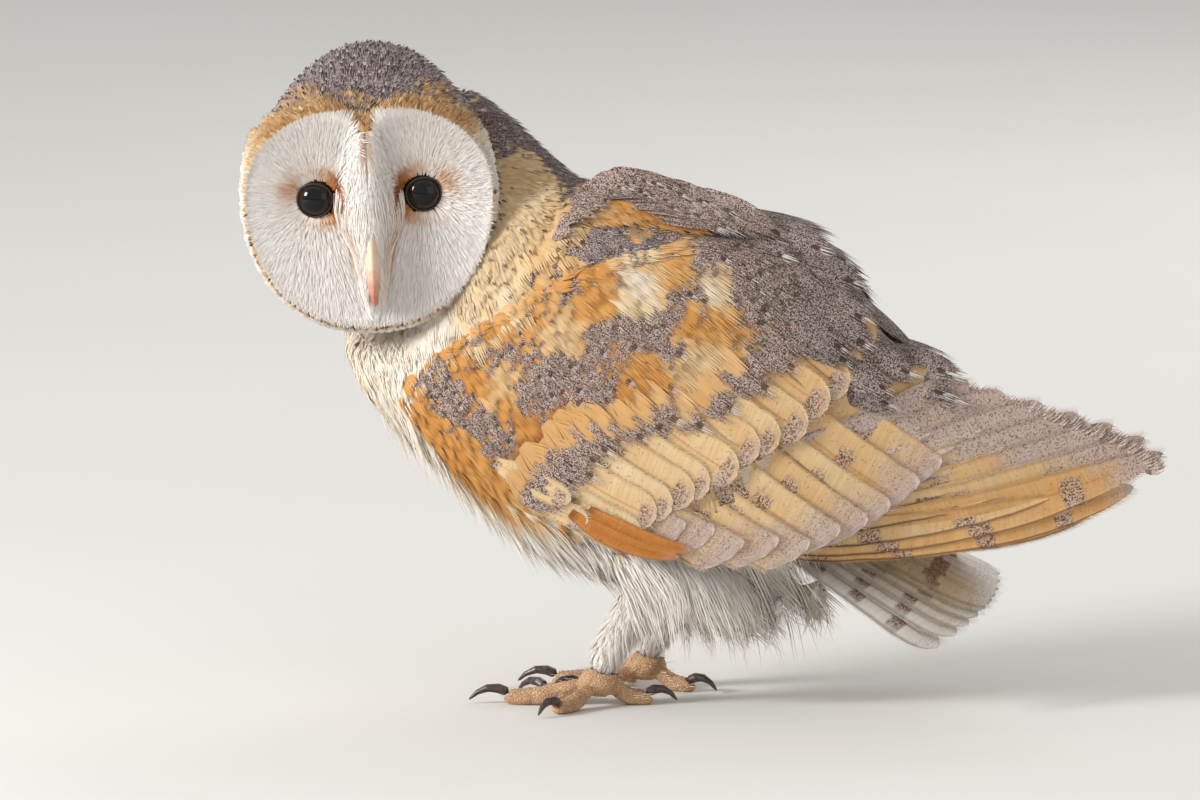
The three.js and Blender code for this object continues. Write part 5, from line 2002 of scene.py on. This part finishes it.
            warm = warm + rng.normal(0, 0.07, len(angle)) - 0.25 * smooth(0.7, 0.95, np.cos(angle))
            brown = rng.uniform(size=len(angle)) < 0.42 * low * inner
            brown |= waves(start, 7 * MM, 5) * low * inner > 0.75
            warm = np.clip(np.where(brown, 0.97, warm), 0, 1)
            dots = np.where(rng.uniform(size=len(angle)) < 0.3, 0.95, 0.0) * np.maximum(top, inner * low)
            tones = np.stack([warm, (0.1 + 0.06 * row) * top, dots], axis=1)
            unwrap = np.stack([angle / math.tau, np.full(len(angle), 0.1 + 0.15 * row)], axis=1)
            widths = np.full(len(angle), 1.0 * MM) * (1 + 0.15 * row)
            guides = dict(zip(SHARES, ((start, out), (middle, out), (end, out))))
            sheets.append(self.rim_cut.cut(Lay.of(guides.get, widths, tones, rng, unwrap), rng))
        grey = {"pale": tone(196, 172, 146), "dark": tone(122, 96, 78)}
        finish = PlumageFinish("rim", drop=0.0, stops=RIM_STOPS, vary=0.3, **grey)
        show("rim_feathers", Sheets.joined(sheets), finish)

    def _eye(self, side: Side, centre: Array) -> None:
        """An eyeball with a raised cornea, and its lid."""
        rings, sides = 40, 64
        low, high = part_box(f"eye_{side.word}")
        radius = (high[0] - low[0]) / 2
        polar = np.linspace(0, math.pi, rings + 1)
        turn = np.arange(sides) * math.tau / sides
        bulge = radius * (1 + 0.05 * smooth(0.95, 0.3, polar))
        ahead, ring = np.cos(polar) * bulge, (np.sin(polar) * bulge)[:, None]
        deep = np.broadcast_to(ahead[:, None], (rings + 1, sides))
        local = np.stack([ring * np.cos(turn)[None], deep, ring * np.sin(turn)[None]], axis=-1)
        look = self._look(side)
        poles = centre + np.array([[0, ahead[0], 0], [0, ahead[-1], 0]]) @ look
        points = np.concatenate([centre + local[1:-1].reshape(-1, 3) @ look, poles])
        faces = grid_faces(rings - 1, sides)
        north, south = len(points) - 2, len(points) - 1
        last = (rings - 2) * sides
        faces += [(north, (k + 1) % sides, k) for k in range(sides)]
        faces += [(south, last + k, last + (k + 1) % sides) for k in range(sides)]
        finish = EyeFinish(f"eye_{side.word}", tuple(look[1]), tuple(centre))
        mesh = plain_mesh("eyeball", points, faces)
        show(f"eyeball_{side.word}", mesh, finish, [f"eye_{side.word}"])
        self._lid(side, centre, look, radius)

    @staticmethod
    def _look(side: Side) -> Array:
        """Axes of one eye, turned a little outwards."""
        across, ahead, high = FACE.axes
        turn = math.radians(6) * -side.value
        forward = ahead * math.cos(turn) + across * math.sin(turn)
        return np.stack([across * math.cos(turn) - ahead * math.sin(turn), forward, high])

    def _lid(self, side: Side, centre: Array, look: Array, radius: float) -> None:
        """Bare lids: a dark rolled edge that spreads back under the feathers."""
        turns = np.linspace(0, math.tau, 73)[:-1]
        profile = ((0.76, 0.0), (0.77, 0.25), (0.8, 0.4), (0.84, 0.3), (0.95, -0.3), (1.5, -1.4))
        upper = smooth(0.3, 1.0, np.sin(turns))
        corner = bell(np.cos(turns) * -side.value, 0.75, 0.35) * smooth(0.1, 0.7, np.sin(turns))
        rows = []
        for angle, height in profile:
            polar = angle - 0.1 * upper + 0.05 * corner * (angle < 1)
            reach = radius * 1.03 + height * MM * (1 + 0.8 * upper * (angle < 1.1))
            ways = [np.sin(polar) * np.cos(turns), np.cos(polar), np.sin(polar) * np.sin(turns)]
            rows.append(centre + np.stack(ways, axis=1) * reach[:, None] @ look)
        mesh = plain_mesh("lid", np.concatenate(rows), grid_faces(len(profile), len(turns)))
        finish = PlainFinish("lid", tone(26, 18, 16), tone(44, 29, 24), 0.5)
        show(f"eyelid_{side.word}", mesh, finish)

    def _bill(self) -> None:
        """The bill: a keeled upper half that hooks over the lower one."""
        down = unit(FACE.axes[1] * 0.1 - FACE.axes[2])
        for bill in (self.upper_bill, self.lower_bill):
            start = FACE.world(*(np.array(bill.spine[0]) * MM))
            length = abs(bill.spine[-1][2] - bill.spine[0][2]) * MM
            colours = tone(226, 200, 172), tone(186, 104, 82)
            finish = HornFinish(bill.node, *colours, tuple(down), tuple(start), length)
            show(f"horn_{bill.node}", plain_mesh(bill.node, *bill.body()), finish, [bill.node])


def on_disc(points: Array, beyond: float = 0.0) -> Array:
    """The front of the face, with a share of it beyond the disc's outline, more of it at the top."""
    across, ahead, high = FACE.local(points)
    share = FACE.share(across, high)
    inside = share < 1 + beyond * (1 + 3 * smooth(0, 20 * MM, high))
    return inside & (ahead > FACE.depth(across, high) - ramp(share, ((0.86, 6 * MM), (0.96, 2.6 * MM))))


@dataclass(frozen=True)
class Region:
    """Part of the skin: its flesh, its limits as shares of the trunk's box, and how far it may face up."""

    parts: tuple[Part, ...]
    back: tuple[float, float] = (-9.0, 9.0)
    high: tuple[float, float] = (-9.0, 9.0)
    facing: tuple[float, float] = (-9.0, 9.0)
    without: "Region | None" = None

    def __call__(self, points: Array, outward: Array, labels: Array) -> Array:
        """Which places lie in it."""
        kept = np.isin(labels, [part.value for part in self.parts])
        back = [spot("trunk", end, 0, 0)[0] for end in self.back]
        high = [spot("trunk", 0, 0, end)[2] for end in self.high]
        limits = ((points[:, 0], back), (points[:, 2], high), (outward[:, 2], self.facing))
        for values, (low, top) in limits:
            kept &= (values > low) & (values < top)
        if Part.HEAD in self.parts:
            kept &= ~on_disc(points, 0.03)
        return kept & ~self.without(points, outward, labels) if self.without else kept


@dataclass(frozen=True)
class Tract:
    """One region of soft body feathers."""

    name: str
    slot: Slot
    spacing: float
    length: float
    half: float
    cut: Tuft
    keep: Region
    finish: PlumageFinish
    seed: int
    loose: float = 0.12  # how far feathers stray from the lie
    spots: float = 0.62  # share of them that bear a spot
    plain: bool = False  # white throughout
    free: float = 0.0  # how far their ends leave the skin's shape and run straight

    def make(self, skin: Skin, lie: Lie) -> None:
        """Grows and dresses the tract.

        Args:
            skin: The skin that it grows on.
            lie: The direction in which it lies.
        """
        rng = np.random.default_rng(self.seed)
        roots = skin.scatter(self.spacing, self.keep, self.seed)
        labels = skin.labels[[skin.tree.find_nearest(point)[2] for point in roots.points.tolist()]]
        tones = MARKINGS.body(roots.points, roots.outward, labels)
        tones[:, 0] = np.clip(tones[:, 0] + rng.normal(0, 0.03, len(tones)), 0, 1)
        tones[:, 2] *= rng.uniform(size=len(tones)) < self.spots
        if self.plain:
            tones = np.tile([[0.03, 0.0, 0.0]], (len(tones), 1))
        ways = lie(roots.points) + rng.normal(0, self.loose, roots.points.shape)
        lengths = self.length * rng.uniform(0.8, 1.2, len(ways))
        widths = self.half * rng.uniform(0.85, 1.15, len(ways))
        lay = skin.lay(roots, ways, lengths, widths, tones, rng, free=self.free)
        show(self.name, self.cut.cut(lay, rng), self.finish)


SOFT = Tuft(strips=5, steps=3, lift=1.3 * MM, camber=0.2)
SPOT = Tuft(strips=1, steps=4, lift=2.0 * MM, camber=0.2, root=0.7, split=0.7)
CROWN = Region((Part.HEAD,))
NECK = Region((Part.NECK,))
BACK = Region((Part.TRUNK,), high=(0.62, 9.0), facing=(-0.1, 9.0))
FRONT = Region((Part.TRUNK,), without=BACK)
BELLY = Region((Part.TRUNK,), back=(-9.0, 0.48), high=(-9.0, 0.46), facing=(-9.0, 0.25))
VENT = Region((Part.TRUNK, Part.THIGH), back=(0.42, 9.0), high=(-9.0, 0.36), facing=(-9.0, 0.3))
UNDERTAIL = Region((Part.TRUNK,), back=(0.72, 9.0), high=(-9.0, 0.42), facing=(-9.0, -0.1))
TRACTS = (
    Tract("crown_feathers", Slot.FACE, 1.8 * MM, 7.5 * MM, 1.6 * MM,
          replace(SOFT, lift=1.7 * MM, ragged=0.34), CROWN,
          PlumageFinish("crown", pale=tone(182, 166, 164), dark=tone(104, 88, 90), grain=1300.0, vary=0.3),
          11, 0.2, 0.0),
    Tract("crown_spots", Slot.FACE, 3.1 * MM, 8.0 * MM, 0.6 * MM, replace(SPOT, lift=2.3 * MM), CROWN,
          PlumageFinish("crown_spots", pale=tone(176, 160, 158), dark=tone(112, 96, 94), drop=0.55,
                        dot_size=3.2, dot=tone(40, 32, 38)), 18, 0.1, 1.0),
    Tract("neck_spots", Slot.NECK, 5.6 * MM, 9.5 * MM, 0.9 * MM, SPOT, NECK,
          PlumageFinish("neck_spots", drop=0.0, dot_size=2.6, dot=tone(92, 60, 42)), 19, 0.06, 1.0),
    # The neck's pale and dark grey are darker than the feathers' own grey: partly painted shade for the shadow
    # on the nape.
    Tract("neck_feathers", Slot.NECK, 2.1 * MM, 9.5 * MM, 1.7 * MM,
          replace(SOFT, ragged=0.25, lift=1.4 * MM), NECK,
          PlumageFinish("neck", drop=0.0, pale=tone(150, 136, 135), dark=tone(82, 69, 71)), 12, 0.09, 0.0),
    Tract("mantle_feathers", Slot.BODY, 4.6 * MM, 16 * MM, 3.8 * MM,
          Tuft(strips=8, steps=4, lift=2 * MM), BACK,
          PlumageFinish("mantle", pale=tone(176, 161, 156), dark=tone(88, 70, 66)), 13),
    Tract("breast_feathers", Slot.BODY, 2.4 * MM, 12 * MM, 2.3 * MM,
          replace(SOFT, ragged=0.4, lift=1.7 * MM), FRONT,
          PlumageFinish("breast", streaks=0.1, drop=0.0), 14),
    Tract("belly_feathers", Slot.BODY, 3.6 * MM, 17 * MM, 2.4 * MM,
          Tuft(strips=6, steps=4, lift=3.4 * MM, ragged=0.4, fan=0.3, sag=0.16, split=0.3), BELLY,
          PlumageFinish("belly", streaks=0.1, drop=0.0), 21, free=0.34),
    Tract("thigh_feathers", Slot.LEGS, 2.3 * MM, 13 * MM, 1.5 * MM,
          Tuft(strips=4, steps=3, lift=2.4 * MM, ragged=0.4, sag=0.15), Region((Part.THIGH,)),
          PlumageFinish("thigh", streaks=0.12), 15, plain=True),
    Tract("vent_feathers", Slot.BODY, 4.2 * MM, 22 * MM, 2.8 * MM,
          Tuft(strips=7, steps=4, lift=3 * MM, ragged=0.45, fan=0.6, sag=0.25, split=0.2), VENT,
          PlumageFinish("vent", streaks=0.12), 16, plain=True, free=0.55),
    Tract("undertail_feathers", Slot.TAIL, 4.0 * MM, 34 * MM, 4.2 * MM,
          Tuft(strips=9, steps=5, lift=3 * MM, ragged=0.4, fan=0.5, sag=0.22, split=0.25), UNDERTAIL,
          PlumageFinish("undertail", streaks=0.12), 20, plain=True, free=0.9),
    Tract("tarsus_feathers", Slot.LEGS, 1.4 * MM, 7 * MM, 0.8 * MM,
          Tuft(strips=3, steps=3, lift=3.2 * MM, ragged=0.4, split=0.2), Region((Part.TARSUS,)),
          PlumageFinish("tarsus", streaks=0.1), 17, plain=True),
)


# ---- tail


@dataclass(frozen=True)
class Tail:
    """Twelve tail feathers in a fan that rolls its near side down."""

    count: int = 12
    crowding: float = 1.6  # how much closer they stand in the middle of the fan
    length: float = 106 * MM
    down: float = 27.0
    roll: float = 22.0
    base_half: float = 12 * MM
    tip_half: float = 36 * MM
    rounding: float = 7 * MM
    lean: float = 9 * MM  # how much further back the far side reaches
    arch: float = 3 * MM
    half: float = 11.0 * MM
    cut: Quill = Quill(rows=24, columns=8, tip=0.16, root=0.5, camber=0.1, tilt=0.14, fringe=1.3 * MM)

    def place(self, spread: Array, share: float, layer: Array) -> Array:
        """Places on the fan.

        Args:
            spread: Where a feather stands in the fan, from -1 to 1.
            share: Share along it.
            layer: Height above the fan's middle.

        Returns:
            The places.
        """
        low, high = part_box("tail")
        base = np.array([low[0], (low[1] + high[1]) / 2, high[2]])
        down, roll = math.radians(self.down), math.radians(self.roll)
        base = base + np.array([0.8 * MM, 0, -self.base_half * math.sin(roll) - 1.0 * MM])
        reach = share * (self.length - self.rounding * spread**2 + self.lean * spread)
        across = spread * (self.base_half + (self.tip_half - self.base_half) * share**0.9)
        high_point = across * math.sin(roll) - self.arch * spread**2 * share
        return np.stack([
            base[0] + reach * math.cos(down) + layer * math.sin(down),
            base[1] + across * math.cos(roll),
            base[2] - reach * math.sin(down) + high_point + layer * math.cos(down),
        ], axis=-1)

    def make(self, rng: Rng) -> None:
        """Builds and dresses the tail."""
        even = np.linspace(-1, 1, self.count)
        spread = np.sign(even) * np.abs(even) ** self.crowding + rng.normal(0, 0.02, self.count)
        layer = (1.5 - np.abs(spread) * 3.6) * MM
        sideways = self.place(spread + 0.05, 0.6, layer) - self.place(spread - 0.05, 0.6, layer)
        outward = unit(np.cross(self.place(spread, 1.0, layer) - self.place(spread, 0.0, layer), sideways))
        outward = outward * np.sign(outward[:, 2:3])
        warm = 0.06 + 0.28 * np.maximum(1 - np.abs(spread), 0) ** 1.5
        lengths = self.length + rng.uniform(-5, 5, self.count) * MM
        tones = np.stack([warm, np.full(self.count, 0.009), lengths], axis=1)
        widths = np.full(self.count, self.half)
        lay = Lay.of(lambda share: (self.place(spread, share, layer), outward), widths, tones, rng)
        finish = FlightFinish(
            "tail", bar_pitch=0.02, bar_start=0.024, bar_width=0.3, solid_bars=0.55, bar_side=0.95,
            scatter=0.5, tip=WHITE, edge_line=0.0,
        )
        show("tail_feathers", self.cut.cut(lay, rng), finish, ["tail"])


# ---- feet


@dataclass(frozen=True)
class Foot:
    """One foot: its scaly toes, bristles and claws."""

    side: Side
    toes: tuple[str, ...] = ("inner", "middle", "outer", "hind")
    bristles: int = 260
    slim: float = 0.9 * MM

    def make(self, rng: Rng) -> None:
        """Builds and dresses the foot."""
        word = self.side.word
        flesh = [f"foot_{word}"] + [f"toe_{toe}_{word}" for toe in self.toes]
        mesh = remeshed(f"toes_{word}", flesh, 0.75 * MM, 3)
        self._slim(mesh)
        show(f"toes_{word}", mesh, ToeFinish(f"toe_skin_{word}"), flesh)
        for toe in self.toes:
            node = f"claw_{toe}_{word}"
            finish = PlainFinish(node, tone(44, 32, 30), tone(84, 66, 60), 0.32)
            show(f"horn_{node}", remeshed(node, [node], 0.3 * MM, 6), finish, [node])
        self._hairs(mesh, word, rng)

    @staticmethod
    def _surface(mesh: Mesh) -> tuple[Array, Array]:
        """Vertices of a mesh and the outward directions there."""
        return column(mesh.vertices, "co", 3), column(mesh.vertex_normals, "vector", 3)

    def _slim(self, mesh: Mesh) -> None:
        """Slims the toes above their soles, with scutes across their tops."""
        points, normals = self._surface(mesh)
        high = smooth(1.5 * MM, 4 * MM, points[:, 2])
        away = points - spot(f"foot_{self.side.word}", 0.5, 0.5, 0.5)
        scutes = np.sin(np.hypot(away[:, 0], away[:, 1]) * (math.tau / (1.9 * MM)))
        scutes = scutes * smooth(0.3, 0.8, normals[:, 2])
        move_to(mesh, points - normals * (high * (self.slim - scutes * 0.16 * MM))[:, None])

    def _hairs(self, mesh: Mesh, word: str, rng: Rng) -> None:
        """Pale bristles on the tops of the toes."""
        points, normals = self._surface(mesh)
        upper = np.flatnonzero(normals[:, 2] > 0.1)
        chosen = rng.choice(upper, min(self.bristles, len(upper)), replace=False)
        start, out = points[chosen], normals[chosen]
        away = unit((start - spot(f"foot_{word}", 0.5, 0.5, 0.5)) * np.array([1, 1, 0.0]))
        length = rng.uniform(2.0, 4.0, len(start))[:, None] * MM
        middle = start + (away * 0.8 + out * 0.45) * length / 2
        end = start + (away + out * 0.3) * length
        tones = np.tile([[0.2, 0.0, 0.0]], (len(start), 1))
        unwrap = rng.uniform(0.01, 0.99, (len(start), 2))
        guides = dict(zip(SHARES, ((start, out), (middle, out), (end, out))))
        lay = Lay.of(guides.get, np.full(len(start), 0.14 * MM), tones, rng, unwrap)
        cut = Tuft(strips=1, steps=3, lift=0, sunk=0.1 * MM, camber=0, root=1, split=0.2).cut(lay, rng)
        show(f"toe_bristles_{word}", cut, PlumageFinish(f"bristles_{word}"))


# ---- stage


@dataclass(frozen=True)
class Studio:
    """A pale floor, soft light and the camera."""

    azimuth: float = 8.0
    elevation: float = 8.0
    distance: float = 6.0
    seen_width: float = 0.462
    sensor: float = 36.0
    aim_ahead: float = 41 * MM  # from the middle of the box towards the breast
    aim_height: float = 115.5 * MM
    floor_half: float = 12.0
    light: float = 0.58  # strength of the even light

    def make(self) -> None:
        """Builds floor, lamps, world and camera."""
        low, high = (np.array(corner) for corner in CAD_BOX)
        aim = np.array([(low[0] + high[0]) / 2 - self.aim_ahead, 0.0, self.aim_height])
        self._floor()
        self._world()
        turn, lift = math.radians(self.azimuth), math.radians(self.elevation)
        view = np.array([-math.sin(turn) * math.cos(lift), math.cos(turn) * math.cos(lift), -math.sin(lift)])
        camera = bpy.data.cameras.new("camera")
        camera.sensor_width = self.sensor
        camera.lens = self.sensor * self.distance / self.seen_width
        camera.clip_end = 60
        holder = add_piece("camera", camera)
        holder.location = aim - view * self.distance
        holder.rotation_euler = (math.pi / 2 - lift, 0, turn)
        bpy.context.scene.camera = holder
        self._lamp("key", (-1.7, -1.1, 0.95), 46.0, 0.6, aim)
        self._lamp("fill", (1.3, -1.0, 0.5), 3.0, 1.2, aim)
        self._lamp("back", (0.6, 1.6, 1.2), 10.0, 1.2, aim)
        bpy.context.scene.view_settings.view_transform = "Standard"

    @staticmethod
    def _lamp(name: str, place: Point, power: float, size: float, aim: Array) -> None:
        """Adds a square soft lamp that looks at the bird."""
        lamp = bpy.data.lights.new(name, "AREA")
        lamp.energy, lamp.size = power, size
        holder = add_piece(name, lamp)
        holder.location = place
        x, y, z = np.array(place) - aim
        holder.rotation_euler = (math.atan2(math.hypot(x, y), z), 0, math.atan2(y, x) + math.pi / 2)

    def _floor(self) -> None:
        """A wide plain floor."""
        half = self.floor_half
        points = np.array([[-half, -half, 0], [half, -half, 0], [half, half, 0], [-half, half, 0]])
        floor = add_piece("floor", plain_mesh("floor", points, [(0, 1, 2, 3)]))
        graph = Graph("floor")
        dusty = graph.noise(graph.place(), 3.0, 3.0)
        colour = graph.mix(dusty, tone(222, 219, 214), tone(228, 226, 222))
        floor.data.materials.append(graph.close(Base_Color=colour, Roughness=0.9, Specular_IOR_Level=0.1))

    def _world(self) -> None:
        """Even light, and a pale wall behind."""
        graph = Graph("studio", world=True)
        bpy.context.scene.world = graph.owner
        light = graph.tree.nodes["Background"]
        graph.feed(light.inputs["Color"], (1.0, 1.0, 1.0))
        graph.feed(light.inputs["Strength"], self.light)
        wall = graph.value("ShaderNodeBackground", None, {"Color": tone(232, 231, 228), "Strength": 1.0})
        path = graph.node("ShaderNodeLightPath")
        seen = 0.0
        for ray in ("Is Camera Ray", "Is Glossy Ray", "Is Transmission Ray"):
            seen = Value(graph, path.outputs[ray]).larger(seen)
        even = Value(graph, light.outputs[0])
        mixed = graph.value("ShaderNodeMixShader", None, {0: seen, 1: even, 2: wall})
        graph.feed(graph.tree.nodes["World Output"].inputs[0], mixed)


def main() -> None:
    """Builds the owl piece by piece."""
    logging.basicConfig(level=logging.INFO, format="%(name)s: %(message)s")
    Studio().make()
    skin = Skin()
    tones = MARKINGS.body(skin.points, skin.normals, skin.vertex_labels)
    tones[(skin.vertex_labels == Part.HEAD.value) & on_disc(skin.points)] = (0.02, 0.0, 0.0)
    give_attribute(skin.mesh, "vane", np.tile([[0.7, 0.6, 0.5]], (len(skin.points), 1)))
    give_attribute(skin.mesh, "tone", tones)
    dress(skin.piece, PlumageFinish("skin"), list(Skin.NODES))
    lie = body_lie()
    for tract in TRACTS:
        tract.make(skin, lie)
    FaceCoat().make(np.random.default_rng(21))
    for side in Side:
        WingCoat(Wing(side)).make(skin, np.random.default_rng(41 + side.value))
        Foot(side).make(np.random.default_rng(61 + side.value))
    Cape().make(skin, np.random.default_rng(51))
    Tail().make(np.random.default_rng(71))


if __name__ == "__main__":
    main()
